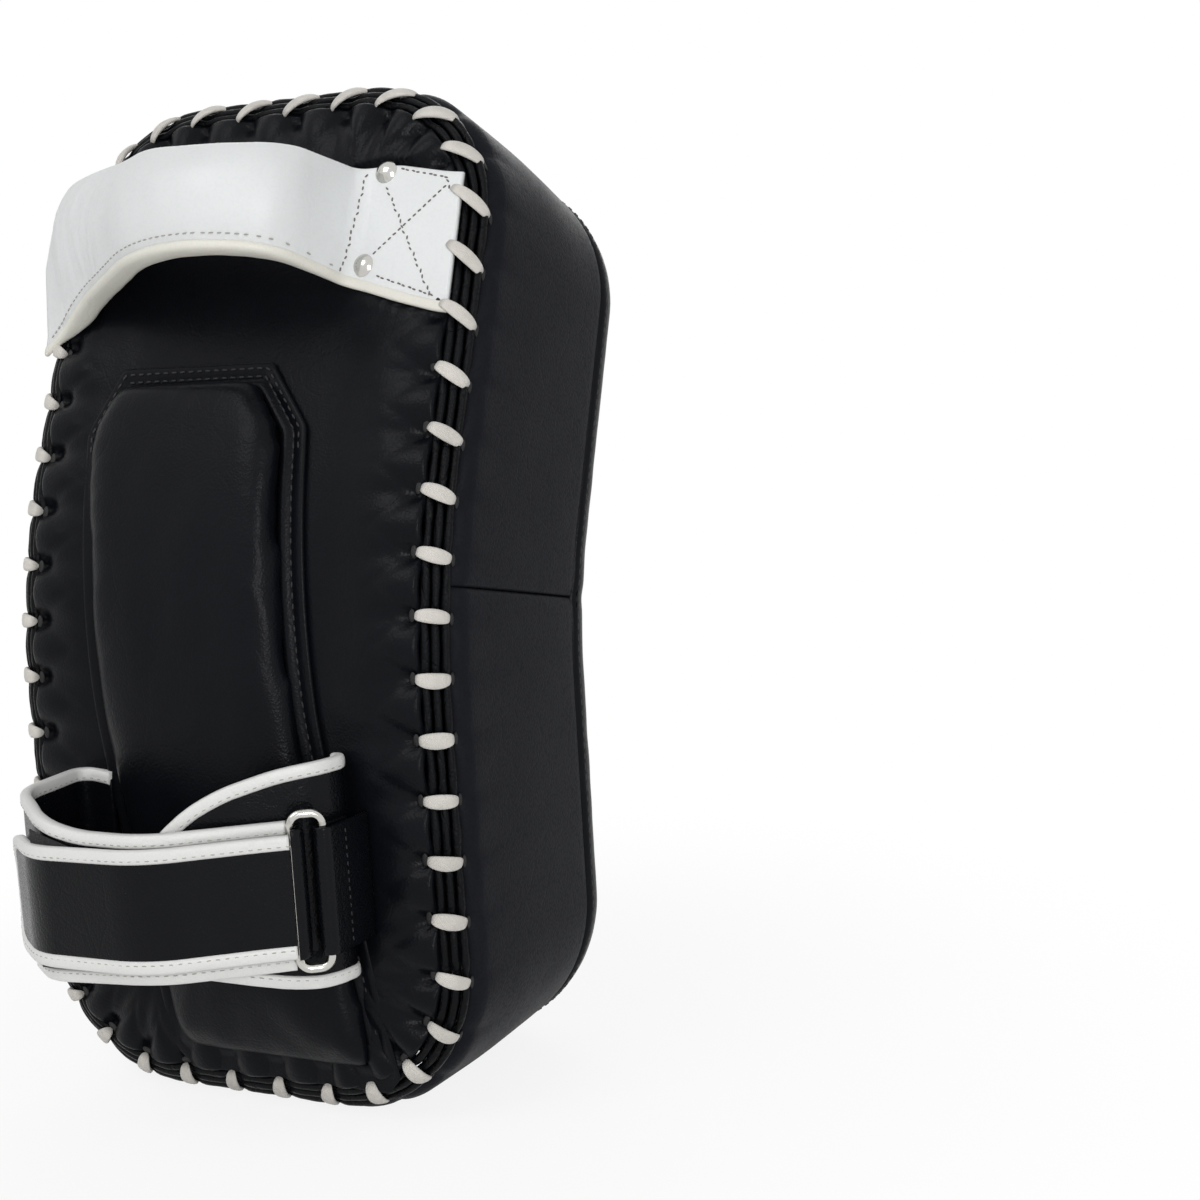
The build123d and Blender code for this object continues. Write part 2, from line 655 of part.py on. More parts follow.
# Fold of the strap round the free bar, where the base turns back into the flap.
fold_half = RING_LENGTH / 2 - RING_CORNER - FIT
FOLD = Plane(origin=ROUND.from_local_coords(free_bar), x_dir=RING.x_dir, z_dir=ROUND.z_dir)
with BuildPart() as strap_fold:
    with BuildSketch(FOLD):
        Circle(fold_radius + FLAP_LEATHER / 2)
        Circle(fold_radius - FLAP_LEATHER / 2, mode=Mode.SUBTRACT)
        with Locations((-fold_radius * 2, 0)):
            Rectangle(fold_radius * 4, fold_radius * 4, mode=Mode.SUBTRACT)
    extrude(amount=fold_half, both=True)

# Flap: runs back over the base from the fold and closes on the tapes; its tip is rounded.
flap_offset = loop_back + 2 * TAPE + FIT + FLAP_LEATHER / 2
flap_root = free_bar + strap_out * fold_radius - strap_run * (2 * FIT)
flap_path = shifted([Vector(*point) for point in strap_line], flap_offset)
flap_tip = flap_path[2] + (flap_path[1] - flap_path[2]).normalized() * FLAP_TIP_DROP
flap_line = [tuple(point)[:2] for point in (flap_tip, *flap_path[2:5], flap_root)]
flap_bends = shifted_radii([Vector(*point) for point in strap_line], STRAP_BENDS, flap_offset)[1:]
flap_turn = -STRAP_SIDE * FLAP_TURN
flap_low = [
    (-WIDTH / 2, FLAP_LOW - FLAP_DROOP),
    (flap_turn, FLAP_LOW - FLAP_DROOP),
    (FLAP_LEVEL_ACROSS, FLAP_LOW),
    (WIDTH / 2, FLAP_LOW),
]
flap_high = [
    (-WIDTH / 2, FLAP_HIGH - FLAP_DROOP),
    (flap_turn, FLAP_HIGH - FLAP_DROOP),
    (FLAP_LEVEL_ACROSS, FLAP_HIGH),
    (WIDTH / 2, FLAP_HIGH),
]
SIDE = Plane(origin=(STRAP_SIDE - BINDING, DEPTH / 2, 0), x_dir=(0, 1, 0), z_dir=(1, 0, 0))


def flap_tip_block(inset):
    """Everything right of the left bend, and beyond it a block with the tip's rounded corners."""
    tip = flap_tip.Y + inset
    bend = BINDING - STRAP_SIDE
    low = FLAP_LOW - FLAP_DROOP + inset
    high = FLAP_HIGH - FLAP_DROOP - inset
    radius = FLAP_TIP_RADIUS - inset
    rounds = [((tip, low), radius), ((tip, high), radius)]
    with BuildPart() as block:
        add(prism(SIDE, [(tip, low), (WIDTH, low), (WIDTH, high), (tip, high)], 0, WIDTH, rounds))
        add(prism(BACK, [(bend, 0), (WIDTH, 0), (WIDTH, LENGTH), (bend, LENGTH)], 0, WIDTH))
    return block.part


flap_half = FLAP_LEATHER / 2
with BuildPart() as strap_flap:
    add(band(ROUND, flap_line, flap_bends, flap_half, -flap_half, STRAP_REACH))
    add(strap_plan(flap_low, flap_high, BINDING), mode=Mode.INTERSECT)
    add(flap_tip_block(BINDING), mode=Mode.INTERSECT)
with BuildPart() as flap_binding:
    add(band(ROUND, flap_line, flap_bends, flap_half + BINDING_LIP, -flap_half - BINDING_LIP, STRAP_REACH))
    add(strap_plan(flap_low, flap_high, 0), mode=Mode.INTERSECT)
    add(flap_tip_block(0), mode=Mode.INTERSECT)
    with BuildPart(mode=Mode.PRIVATE) as flap_field:
        add(strap_plan(flap_low, flap_high, BINDING - FIT / 2))
        add(flap_tip_block(BINDING - FIT / 2), mode=Mode.INTERSECT)
    add(flap_field.part, mode=Mode.SUBTRACT)
with BuildPart() as hook_tape:
    add(band(ROUND, flap_line, flap_bends, -flap_half, -flap_half - TAPE, STRAP_REACH))
    add(strap_plan(flap_low, flap_high, BINDING + TAPE_MARGIN), mode=Mode.INTERSECT)
    add(tape_window, mode=Mode.INTERSECT)

# Keeper: a leather loop from the seam at the right of the forearm pad round the ring's kept bar.
keeper_reach = RING_WIRE / 2 + FIT + KEEPER_LEATHER / 2
keeper_seat = FIT + KEEPER_LEATHER / 2
keeper_top = kept_bar.Y + keeper_reach
keeper_line = [
    (forearm_side + FIT, keeper_seat),
    (kept_bar.X + keeper_reach * KEEPER_OVERRUN[0], keeper_seat),
    (kept_bar.X + keeper_reach, keeper_top),
    (kept_bar.X - keeper_reach * KEEPER_OVERRUN[1], keeper_top),
    (kept_bar.X, kept_bar.Y * KEEPER_RETURN),
]
keeper_face = KEEPER_LEATHER / 2
keeper_half = RING_LENGTH / 2 - RING_CORNER - 2 * FIT
with BuildPart() as ring_keeper:
    add(band(ROUND, keeper_line, KEEPER_BENDS, keeper_face, -keeper_face, keeper_half))

# Tongue: the shorter half of the strap, from the same seam up and under the base.
tongue_half = TONGUE_LEATHER / 2
tongue_seat = keeper_seat + KEEPER_LEATHER / 2 + FIT + BINDING_LIP + tongue_half
tongue_line = [
    (forearm_side + FIT, tongue_seat),
    (forearm_side + TONGUE_OFFSET[0], tongue_seat),
    (forearm_side + TONGUE_OFFSET[1], TONGUE_LINE[0]),
    *TONGUE_LINE[1:],
]
with BuildPart() as tongue:
    add(band(ROUND, tongue_line, TONGUE_BENDS, tongue_half, -tongue_half, STRAP_REACH))
    add(strap_plan(TONGUE_LOW, TONGUE_HIGH, BINDING), mode=Mode.INTERSECT)
tongue_lip = tongue_half + BINDING_LIP
with BuildPart() as tongue_binding:
    add(band(ROUND, tongue_line, TONGUE_BENDS, tongue_lip, -tongue_lip, STRAP_REACH))
    add(strap_plan(TONGUE_LOW, TONGUE_HIGH, 0), mode=Mode.INTERSECT)
    add(strap_plan(TONGUE_LOW, TONGUE_HIGH, BINDING - FIT / 2), mode=Mode.SUBTRACT)

os.makedirs("parts", exist_ok=True)
pieces = {
    "strike_panel": strike_panel,
    "target_ring": target_ring,
    "target_disc": target_disc,
    "gusset_upper": gusset_upper,
    "gusset_lower": gusset_lower,
    "back_panel": back_panel,
    "gusset_edge_roll": gusset_edge_roll,
    "corded_welt": corded_welt,
    "back_panel_edge_roll": back_panel_edge_roll,
    "foam_strike_layer": foam_strike_layer,
    "foam_core": foam_core,
    "foam_back_layer": foam_back_layer,
    "forearm_pad_cover": forearm_pad_cover,
    "forearm_pad_foam": forearm_pad_foam,
    "edge_lace": edge_lace,
    "grip_outer": grip_outer,
    "grip_foam": grip_foam,
    "grip_lining": grip_lining,
    "grip_piping": grip_piping,
    "grip_rivet_upper": grip_rivet_upper,
    "grip_rivet_lower": grip_rivet_lower,
    "rivet_washer_upper": rivet_washer_upper,
    "rivet_washer_lower": rivet_washer_lower,
    "strap_base": strap_base,
    "strap_base_binding": strap_base_binding,
    "loop_tape": loop_tape,
    "strap_ring": strap_ring,
    "strap_fold": strap_fold,
    "strap_flap": strap_flap,
    "flap_binding": flap_binding,
    "hook_tape": hook_tape,
    "ring_keeper": ring_keeper,
    "tongue": tongue,
    "tongue_binding": tongue_binding,
}
for label, piece in pieces.items():
    piece.part.label = label
    export_step(piece.part, f"parts/{label}.step")
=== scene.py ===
"""Curved thai pad: leather pieces, lacing, grip, arm strap and studio, in metres."""
import math
import random

import bmesh
import bpy
from mathutils import Matrix, Vector, noise


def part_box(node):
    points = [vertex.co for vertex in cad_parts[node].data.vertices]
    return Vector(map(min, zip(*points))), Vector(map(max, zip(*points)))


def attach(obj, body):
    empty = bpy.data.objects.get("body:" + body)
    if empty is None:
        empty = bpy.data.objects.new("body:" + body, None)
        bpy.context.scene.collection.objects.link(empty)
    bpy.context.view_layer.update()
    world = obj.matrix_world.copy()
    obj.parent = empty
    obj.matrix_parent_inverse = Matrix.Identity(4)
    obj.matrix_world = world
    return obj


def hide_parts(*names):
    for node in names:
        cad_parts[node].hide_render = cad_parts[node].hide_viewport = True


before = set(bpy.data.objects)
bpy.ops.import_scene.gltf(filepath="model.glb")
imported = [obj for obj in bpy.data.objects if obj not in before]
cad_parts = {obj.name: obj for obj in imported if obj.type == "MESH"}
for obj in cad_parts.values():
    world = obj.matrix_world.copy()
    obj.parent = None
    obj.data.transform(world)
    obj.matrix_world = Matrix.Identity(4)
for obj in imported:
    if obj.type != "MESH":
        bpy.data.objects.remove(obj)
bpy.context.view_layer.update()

bl_info = {
    "name": "Curved Thai Pad",
    "version": (1, 0, 0),
    "blender": (4, 5, 0),
    "location": "3D View > Sidebar > Thai Pad",
    "description": "Builds a laced leather thai pad with hand grip and arm strap",
    "category": "Object",
}

# Body of the pad, the same sizes as the CAD frame
PAD_LOW, PAD_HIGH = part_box("strike_panel")
WIDTH = PAD_HIGH.x - PAD_LOW.x
LENGTH = 0.400
DEPTH = 0.120
LEAN = math.radians(21)
BEND_RUN = 0.080
CORNER = 0.066
STRAIGHT = (LENGTH - BEND_RUN) / 2
MID_RADIUS = BEND_RUN / LEAN
RIM_RADIUS = 0.012
GUSSET_ROUND = 0.007
WAIST_RUN = 0.2015
SEAM_STITCH_DEPTH = 0.0132
FIT = 0.0003

# Rolled edges: distance inside the outline and drop below the back panel
ROLL_RADIUS = 0.00175
ROLLS = {
    "gusset_edge_roll": (0.00495, 0.00665),
    "corded_welt": (0.00794, 0.00431),
    "back_panel_edge_roll": (0.0113, 0.00253),
}
PANEL_INSET = 0.01335

# Lacing: holes as (distance inside the outline, height over the panel)
LACE_INSET = 0.00495
LACE_COUNT = 48
LACE_PHASE = 0.1
LACE_IN = (0.0139, 0.0008)
LACE_OUT = (0.0034, -0.0077)
LACE_RISE = 0.0031
AROUND = 12 * LACE_COUNT

# Hand grip: thicknesses and its bent line seen from above, then its rivets
GRIP_LEATHER = 0.0022
GRIP_THICK = 0.0092
GRIP_PIPING = 0.004
GRIP_LINE = [
    (0.0935, 0.0003), (0.0465, 0.0003), (0.036, 0.040),
    (-0.006, 0.0590), (-0.088, 0.0040), (-0.1035, -0.0035),
]
GRIP_BENDS = [0.010, 0.024, 0.058, 0.012]
RIVET_UPPER = (0.0586, 0.3555)
RIVET_LOWER = (0.0535, 0.317)

# Forearm pad: half width, ends up the pad, cut corners and sewn border
FOREARM_HALF = 0.054
FOREARM_TOP = 0.280
FOREARM_BOTTOM = 0.0135
FOREARM_TOP_CUT = (0.017, 0.027)
FOREARM_BOTTOM_CUT = 0.007
FOREARM_FLANGE = 0.0075
FOREARM_MERGE = 0.040

# Arm strap: its bent line seen from above, thicknesses, bindings, tip, ring and keeper
STRAP_LINE = [
    (-0.0546, 0.0024), (-0.070, 0.0024), (-0.067, 0.041),
    (-0.042, 0.0595), (0.008, 0.062), (0.050, 0.0312),
]
STRAP_BENDS = [0.007, 0.022, 0.026, 0.040]
STRAP_THICK = 0.003
FLAP_THICK = 0.0024
TONGUE_THICK = 0.0024
KEEPER_THICK = 0.0018
TAPE_THICK = 0.0008
BINDING_LIP = 0.0006
SHEET_INSET = 0.003
TIP_START = 0.0105
TIP_RADIUS = 0.018
TIP_DROP = 0.0130
RING_MIDDLE = 0.103
RING_WIRE = 0.0017
RING_LENGTH = 0.059
RING_CORNER = 0.0045
RING_PITCH = 0.012
FLAP_OFFSET = STRAP_THICK / 2 + 2 * TAPE_THICK + FIT + FLAP_THICK / 2

# Sewing thread as (stitch length, thread radius)
STRAP_THREAD = (0.0022, 0.00026)
SEAM_THREAD = (0.0034, 0.00038)

GROUPS = {}
FINISH = {}


# ---------------------------------------------------------------- small curves
def clamp(x):
    """Limits a number to the range from 0 to 1."""
    return min(max(x, 0.0), 1.0)


def soft_step(x):
    """Smooth rise from 0 to 1 as x goes from 0 to 1."""
    x = clamp(x)
    return x * x * (3 - 2 * x)


def hump(x, width):
    """Bell curve: 1 at zero, fading over a width."""
    return math.exp(-((x / width) ** 2))


def ripple(point, scale, seed=0.0):
    """Smooth noise from -1 to 1 at a feature size in metres."""
    return noise.noise(point / scale + Vector((seed, seed * 1.7, -seed)))


def between(table, ease=0.004):
    """Smooth line through (place, value) pairs."""
    def read(x):
        if x <= table[0][0]:
            return table[0][1]
        for (x0, z0), (x1, z1) in zip(table, table[1:]):
            if x <= x1:
                return z0 + (z1 - z0) * ((x - x0) / (x1 - x0))
        return table[-1][1]

    def soft(x):
        return sum(read(x + shift * ease) for shift in (-2, -1, 0, 1, 2)) / 5
    return soft


def walk(lengths, pitch, wait=0.0):
    """Even steps along runs of given lengths, as (number of the run, part of it)."""
    travelled = 0.0
    for index, length in enumerate(lengths):
        while length > 0 and wait <= travelled + length:
            yield index, (wait - travelled) / length
            wait += pitch
        travelled += length


# ---------------------------------------------------------------- shape of the body
def pad_turn(run):
    """Lean of the body at a run up the middle line, in radians."""
    return min(max(run - STRAIGHT, 0.0), BEND_RUN) / MID_RADIUS


def side_profile(depth, run):
    """Place in the side view, depth behind the strike face and run up the middle line."""
    radius = MID_RADIUS + depth - DEPTH / 2
    turn = pad_turn(run)
    before = min(run, STRAIGHT)
    after = max(run - STRAIGHT - BEND_RUN, 0.0)
    return (
        -MID_RADIUS + radius * math.cos(turn) - after * math.sin(turn),
        before + radius * math.sin(turn) + after * math.cos(turn),
    )


def pad_point(x, run, depth):
    """Point of the bent body in the frame."""
    return Vector((x, *side_profile(depth, run)))


def pad_out(run):
    """Direction straight out of the back panel."""
    turn = pad_turn(run)
    return Vector((0.0, math.cos(turn), math.sin(turn)))


def pad_up(run):
    """Direction up along the back panel."""
    turn = pad_turn(run)
    return Vector((0.0, -math.sin(turn), math.cos(turn)))


# Outline of the back, run by run from the middle of the lower end round one side
FLAT = WIDTH / 2 - CORNER
STRETCH = (MID_RADIUS + DEPTH / 2) / MID_RADIUS
CORNER_LENGTH = (CORNER - LACE_INSET) * math.pi / 2
SIDE_LENGTH = STRAIGHT - CORNER
OUTLINE = [
    ("bottom", 2 * FLAT),
    ("corner_low", CORNER_LENGTH),
    ("side_low", SIDE_LENGTH),
    ("bend", BEND_RUN * STRETCH),
    ("side_high", SIDE_LENGTH),
    ("corner_high", CORNER_LENGTH),
    ("top", 2 * FLAT),
]
HALF_WAY = sum(length for name, length in OUTLINE)
OUTLINE_LENGTH = 2 * HALF_WAY - 4 * FLAT
STITCH_PITCH = OUTLINE_LENGTH / LACE_COUNT
FIRST_SHARE = LACE_PHASE / LACE_COUNT


def outline_spot(share, inset):
    """Place across and up the pad for a share of the way round, at a distance inside the outline."""
    way = (share % 1.0) * OUTLINE_LENGTH
    mirror = way > HALF_WAY
    if mirror:
        way = OUTLINE_LENGTH - way + 2 * FLAT
    radius = CORNER - inset
    side = WIDTH / 2 - inset
    for name, length in OUTLINE:
        if way <= length or name == "top":
            part = way / length
            break
        way -= length
    angle = part * math.pi / 2
    if name == "bottom":
        x, run = -FLAT + way, inset
    elif name == "corner_low":
        x, run = FLAT + radius * math.sin(angle), CORNER - radius * math.cos(angle)
    elif name == "side_low":
        x, run = side, CORNER + way
    elif name == "bend":
        x, run = side, STRAIGHT + part * BEND_RUN
    elif name == "side_high":
        x, run = side, LENGTH - STRAIGHT + way
    elif name == "corner_high":
        x, run = FLAT + radius * math.cos(angle), LENGTH - CORNER + radius * math.sin(angle)
    else:
        x, run = FLAT - way, LENGTH - inset
    return (-x, run) if mirror else (x, run)


DEEP = 0.050
RIDGE_PITCH = 0.002


def deep_spot(share, inset):
    """The same, but deeper in than DEEP the lines draw together onto the pad's middle line."""
    if inset <= DEEP:
        return outline_spot(share, inset)
    x, run = outline_spot(share, DEEP)
    keep = max(0.0, (WIDTH / 2 - inset) / (WIDTH / 2 - DEEP))
    half = LENGTH / 2 - DEEP
    shrink = 1 - (1 - keep) * (WIDTH / 2 - DEEP) / half
    run = LENGTH / 2 + (run - LENGTH / 2) * shrink
    if keep < 1e-6:
        return 0.0, round(run / RIDGE_PITCH) * RIDGE_PITCH
    return x * keep, run


def stitch_wave(share):
    """Distance in metres to the nearest lace stitch, and where between two stitches it is."""
    place = (share * LACE_COUNT - LACE_PHASE) % 1.0
    return min(place, 1 - place) * STITCH_PITCH, place


# ---------------------------------------------------------------- mesh helpers
def add_object(name, shape, smooth=True):
    """Makes a shape an object with smooth or flat faces."""
    for face in shape.faces:
        face.smooth = smooth
    mesh = bpy.data.meshes.new(name)
    shape.to_mesh(mesh)
    shape.free()
    piece = bpy.data.objects.new(name, mesh)
    bpy.context.scene.collection.objects.link(piece)
    return piece


def grid_into(shape, columns, rows, place, wrap_columns=False, wrap_rows=False):
    """Adds a grid of columns by rows cells to a shape, with every point put in place."""
    layer = shape.loops.layers.uv.get("along") or shape.loops.layers.uv.new("along")
    made = bmesh.ops.create_grid(
        shape, x_segments=columns, y_segments=rows, size=1.0, calc_uvs=False)["verts"]
    spots = {
        vert: (round((vert.co.x + 1) / 2 * columns), round((vert.co.y + 1) / 2 * rows))
        for vert in made
    }
    for face in {face for vert in made for face in vert.link_faces}:
        for loop in face.loops:
            column, row = spots[loop.vert]
            loop[layer].uv = (column / columns, row / rows)
    for vert, (column, row) in spots.items():
        u = (column % columns if wrap_columns else column) / columns
        v = (row % rows if wrap_rows else row) / rows
        vert.co = place(u, v)


def finish_shape(name, shape, fill_ends=False):
    """Welds a shape, closes its ends, points its faces outwards and makes it an object."""
    bmesh.ops.remove_doubles(shape, verts=shape.verts, dist=2e-6)
    if fill_ends:
        edges = [edge for edge in shape.edges if edge.is_boundary]
        if edges:
            bmesh.ops.holes_fill(shape, edges=edges, sides=0)
    bmesh.ops.dissolve_degenerate(shape, dist=1e-6, edges=shape.edges)
    bmesh.ops.recalc_face_normals(shape, faces=shape.faces)
    return add_object(name, shape)


def shaped_grid(name, columns, rows, place, wrap_columns=False, wrap_rows=False, fill_ends=False):
    """Object made of one grid whose points are put in place."""
    shape = bmesh.new()
    grid_into(shape, columns, rows, place, wrap_columns, wrap_rows)
    return finish_shape(name, shape, fill_ends)


def face_out(piece, inside=Vector((0, 0, LENGTH / 2))):
    """Turns an open sheet so that its faces point away from a place inside the object."""
    shape = bmesh.new()
    shape.from_mesh(piece.data)
    total = sum(
        (face.calc_center_median() - inside).dot(face.normal) * face.calc_area()
        for face in shape.faces)
    if total < 0:
        bmesh.ops.reverse_faces(shape, faces=shape.faces)
    shape.to_mesh(piece.data)
    shape.free()
    return piece


def superellipse(angle, soft_width, soft_height):
    """Point of a rounded section: soft 1 is an ellipse, near 0 a rectangle."""
    c, s = math.cos(angle), math.sin(angle)
    return math.copysign(abs(c) ** soft_width, c), math.copysign(abs(s) ** soft_height, s)


def thread_row(name, spots, size, seed):
    """Row of sewing stitches: each spot is (middle, direction, outward), size (length, radius)."""
    length, radius = size
    rng = random.Random(seed)
    shape = bmesh.new()
    for middle, direction, outward in spots:
        run = direction.normalized()
        side = outward.cross(run).normalized()
        lift = run.cross(side).normalized()
        run = (run + side * rng.uniform(-0.10, 0.10)).normalized()
        side = lift.cross(run).normalized()
        turn = Matrix((side, run, lift)).transposed().to_4x4()
        scale = Matrix.Diagonal((radius, length / 2 * rng.uniform(0.92, 1.06), radius * 0.8, 1.0))
        place = Matrix.Translation(middle + lift * radius * 0.25)
        bmesh.ops.create_icosphere(
            shape, subdivisions=1, radius=1.0, matrix=place @ turn @ scale)
    bmesh.ops.subdivide_edges(shape, edges=shape.edges, cuts=1, smooth=0.6)
    return add_object(name, shape)


def finish_piece(piece, body, slot, finish, *nodes, fill=None):
    """Gives a piece its body and finish, and hides the CAD nodes it stands for; the record slot is not
    used.
    """
    piece.data.materials.clear()
    piece.data.materials.append(FINISH[finish])
    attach(piece, body)
    if nodes:
        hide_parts(*nodes)


def inflate(piece, voxel, pressure, cap, frames, held):
    """Blows a closed shape up as cloth for a moment; part of it is held, its movement capped."""
    scene = bpy.context.scene
    bpy.context.view_layer.objects.active = piece
    remesh = piece.modifiers.new("Remesh", "REMESH")
    remesh.mode = "VOXEL"
    remesh.voxel_size = voxel
    bpy.ops.object.select_all(action="DESELECT")
    piece.select_set(True)
    bpy.ops.object.modifier_apply(modifier=remesh.name)
    before = [vert.co.copy() for vert in piece.data.vertices]
    group = piece.vertex_groups.new(name="held")
    group.add([index for index, spot in enumerate(before) if held(spot)], 1.0, "REPLACE")
    cloth = piece.modifiers.new("Cloth", "CLOTH")
    cloth.collision_settings.use_collision = False
    leather = cloth.settings
    leather.quality = 5
    leather.use_pressure = True
    leather.uniform_pressure_force = pressure
    leather.effector_weights.gravity = 0.0
    leather.tension_stiffness = leather.compression_stiffness = 20
    leather.bending_stiffness = 1.0
    leather.vertex_group_mass = group.name
    cloth.point_cache.frame_start = 1
    cloth.point_cache.frame_end = frames
    for number in range(1, frames + 1):
        scene.frame_set(number)
    evaluated = piece.evaluated_get(bpy.context.evaluated_depsgraph_get())
    after = [vert.co.copy() for vert in evaluated.data.vertices]
    piece.modifiers.remove(cloth)
    for vert, old, new in zip(piece.data.vertices, before, after):
        move = new - old
        if move.length > cap:
            move *= cap / move.length
        vert.co = old + move
    scene.frame_set(1)


# ---------------------------------------------------------------- shader helpers
def feed(tree, value, socket):
    """Links another node's socket to this one, or sets it to a number or colour."""
    if isinstance(value, bpy.types.NodeSocket):
        tree.links.new(value, socket)
    else:
        socket.default_value = value


def node(tree, kind, inputs=None, **settings):
    """New shader node with its settings, then its inputs by name or number."""
    made = tree.nodes.new(kind)
    for key, value in settings.items():
        setattr(made, key, value)
    for key, value in (inputs or {}).items():
        feed(tree, value, made.inputs[key])
    return made


def math_node(tree, operation, *values):
    """Result of a math node on numbers or sockets."""
    return node(tree, "ShaderNodeMath", dict(enumerate(values)), operation=operation).outputs[0]


def vector_node(tree, operation, inputs):
    """Result of a vector math node."""
    return node(tree, "ShaderNodeVectorMath", inputs, operation=operation).outputs[0]


def cloud(tree, vector, scale, detail, roughness=0.5, output="Fac"):
    """Noise texture on a vector."""
    inputs = {"Vector": vector, "Scale": scale, "Detail": detail, "Roughness": roughness}
    return node(tree, "ShaderNodeTexNoise", inputs).outputs[output]


def twill(tree, vector, scale, distortion):
    """Slanting bands, as on lace and thread."""
    inputs = {"Vector": vector, "Scale": scale, "Distortion": distortion}
    return node(
        tree, "ShaderNodeTexWave", inputs, wave_type="BANDS", bands_direction="DIAGONAL").outputs["Fac"]


def smooth_range(tree, value, low, high, out_low=0.0, out_high=1.0):
    """Smooth step of a value from one range to another."""
    inputs = {"Value": value, "From Min": low, "From Max": high, "To Min": out_low, "To Max": out_high}
    return node(tree, "ShaderNodeMapRange", inputs, interpolation_type="SMOOTHSTEP").outputs[0]


def mix_colour(tree, amount, first, second):
    """Colour mixed between two colours or sockets by an amount."""
    ends = [
        value if isinstance(value, bpy.types.NodeSocket) else (*value, 1.0)
        for value in (first, second)
    ]
    inputs = {0: amount, 6: ends[0], 7: ends[1]}
    return node(tree, "ShaderNodeMix", inputs, data_type="RGBA").outputs[2]


def add_bump(tree, shader, height, distance, below=None):
    """Bump from a height, on top of an earlier bump if there is one."""
    inputs = {"Strength": 1.0, "Distance": distance, "Height": height}
    if below is not None:
        inputs["Normal"] = below
    normal = node(tree, "ShaderNodeBump", inputs).outputs["Normal"]
    tree.links.new(normal, shader.inputs["Normal"])
    return normal


def shaded(colour, factor):
    """Colour made darker or lighter by a factor."""
    return [channel * factor for channel in colour]


# ---------------------------------------------------------------- shared shader groups
def new_group(name, inputs, outputs):
    """Shader group with named inputs (name, kind, default) and float outputs, and its two ends."""
    group = bpy.data.node_groups.new(name, "ShaderNodeTree")
    for label, kind, default in inputs:
        socket = group.interface.new_socket(name=label, in_out="INPUT", socket_type=kind)
        socket.default_value = default
    for label in outputs:
        group.interface.new_socket(name=label, in_out="OUTPUT", socket_type="NodeSocketFloat")
    return group, node(group, "NodeGroupInput").outputs, node(group, "NodeGroupOutput").inputs


def build_grain_group():
    """Leather grain: pebbled cells with fine creases. Height is for bump, Pores is a mask."""
    group, source, sink = new_group(
        "Leather grain",
        [("Vector", "NodeSocketVector", (0, 0, 0)), ("Pebbles per metre", "NodeSocketFloat", 900.0)],
        ["Height", "Pores"],
    )
    vector = source["Vector"]
    warp = cloud(group, vector, 260.0, 2.0, output="Color")
    centred = vector_node(group, "SUBTRACT", {0: warp, 1: (0.5, 0.5, 0.5)})
    shift = vector_node(group, "SCALE", {0: centred, "Scale": 0.0016})
    moved = vector_node(group, "ADD", {0: vector, 1: shift})
    inputs = {"Vector": moved, "Scale": source["Pebbles per metre"], "Smoothness": 0.35}
    cells = node(group, "ShaderNodeTexVoronoi", inputs, feature="SMOOTH_F1").outputs["Distance"]
    fine = cloud(group, vector, 2600.0, 3.0)
    pebble = smooth_range(group, cells, 0.05, 0.75, 1.0, 0.0)
    feed(group, math_node(group, "MULTIPLY_ADD", fine, 0.35, pebble), sink["Height"])
    feed(group, smooth_range(group, cells, 0.45, 0.8), sink["Pores"])
    return group


def build_wear_group():
    """Handling marks: soft large patches, rubbed streaks and creases, each from 0 to 1."""
    group, source, sink = new_group(
        "Handling wear", [("Vector", "NodeSocketVector", (0, 0, 0))], ["Patches", "Rub", "Creases"])
    vector = source["Vector"]
    patches = cloud(group, vector, 22.0, 3.0, 0.55)
    feed(group, smooth_range(group, patches, 0.35, 0.68), sink["Patches"])
    inputs = {"Vector": vector, "Scale": (1.0, 1.0, 0.35), "Rotation": (0.3, 0.4, 0.2)}
    stretched = node(group, "ShaderNodeMapping", inputs).outputs[0]
    rub = cloud(group, stretched, 120.0, 5.0, 0.65)
    feed(group, smooth_range(group, rub, 0.52, 0.78), sink["Rub"])
    bend = cloud(group, vector, 30.0, 2.0, output="Color")
    shift = vector_node(group, "SCALE", {0: bend, "Scale": 0.02})
    inputs = {"Vector": vector_node(group, "ADD", {0: vector, 1: shift}), "Scale": 55.0}
    creases = node(group, "ShaderNodeTexVoronoi", inputs, feature="DISTANCE_TO_EDGE")
    lines = smooth_range(group, creases.outputs["Distance"], 0.0, 0.05, 1.0, 0.0)
    feed(group, lines, sink["Creases"])
    return group


def use_group(tree, name, vector, **values):
    """Outputs of a shared group placed in a material on some coordinates."""
    made = tree.nodes.new("ShaderNodeGroup")
    made.node_tree = GROUPS[name]
    feed(tree, vector, made.inputs["Vector"])
    for label, value in values.items():
        made.inputs[label.replace("_", " ")].default_value = value
    return made.outputs


# ---------------------------------------------------------------- finishes
def shader_base(name):
    """New material with its tree, Principled shader and object coordinates."""
    material = bpy.data.materials.new(name)
    material.use_nodes = True
    tree = material.node_tree
    coords = tree.nodes.new("ShaderNodeTexCoord").outputs["Object"]
    return material, tree, tree.nodes["Principled BSDF"], coords


def feed_shader(tree, shader, colour, rough):
    """Joins colour and roughness to the shader."""
    feed(tree, colour, shader.inputs["Base Color"])
    feed(tree, rough, shader.inputs["Roughness"])


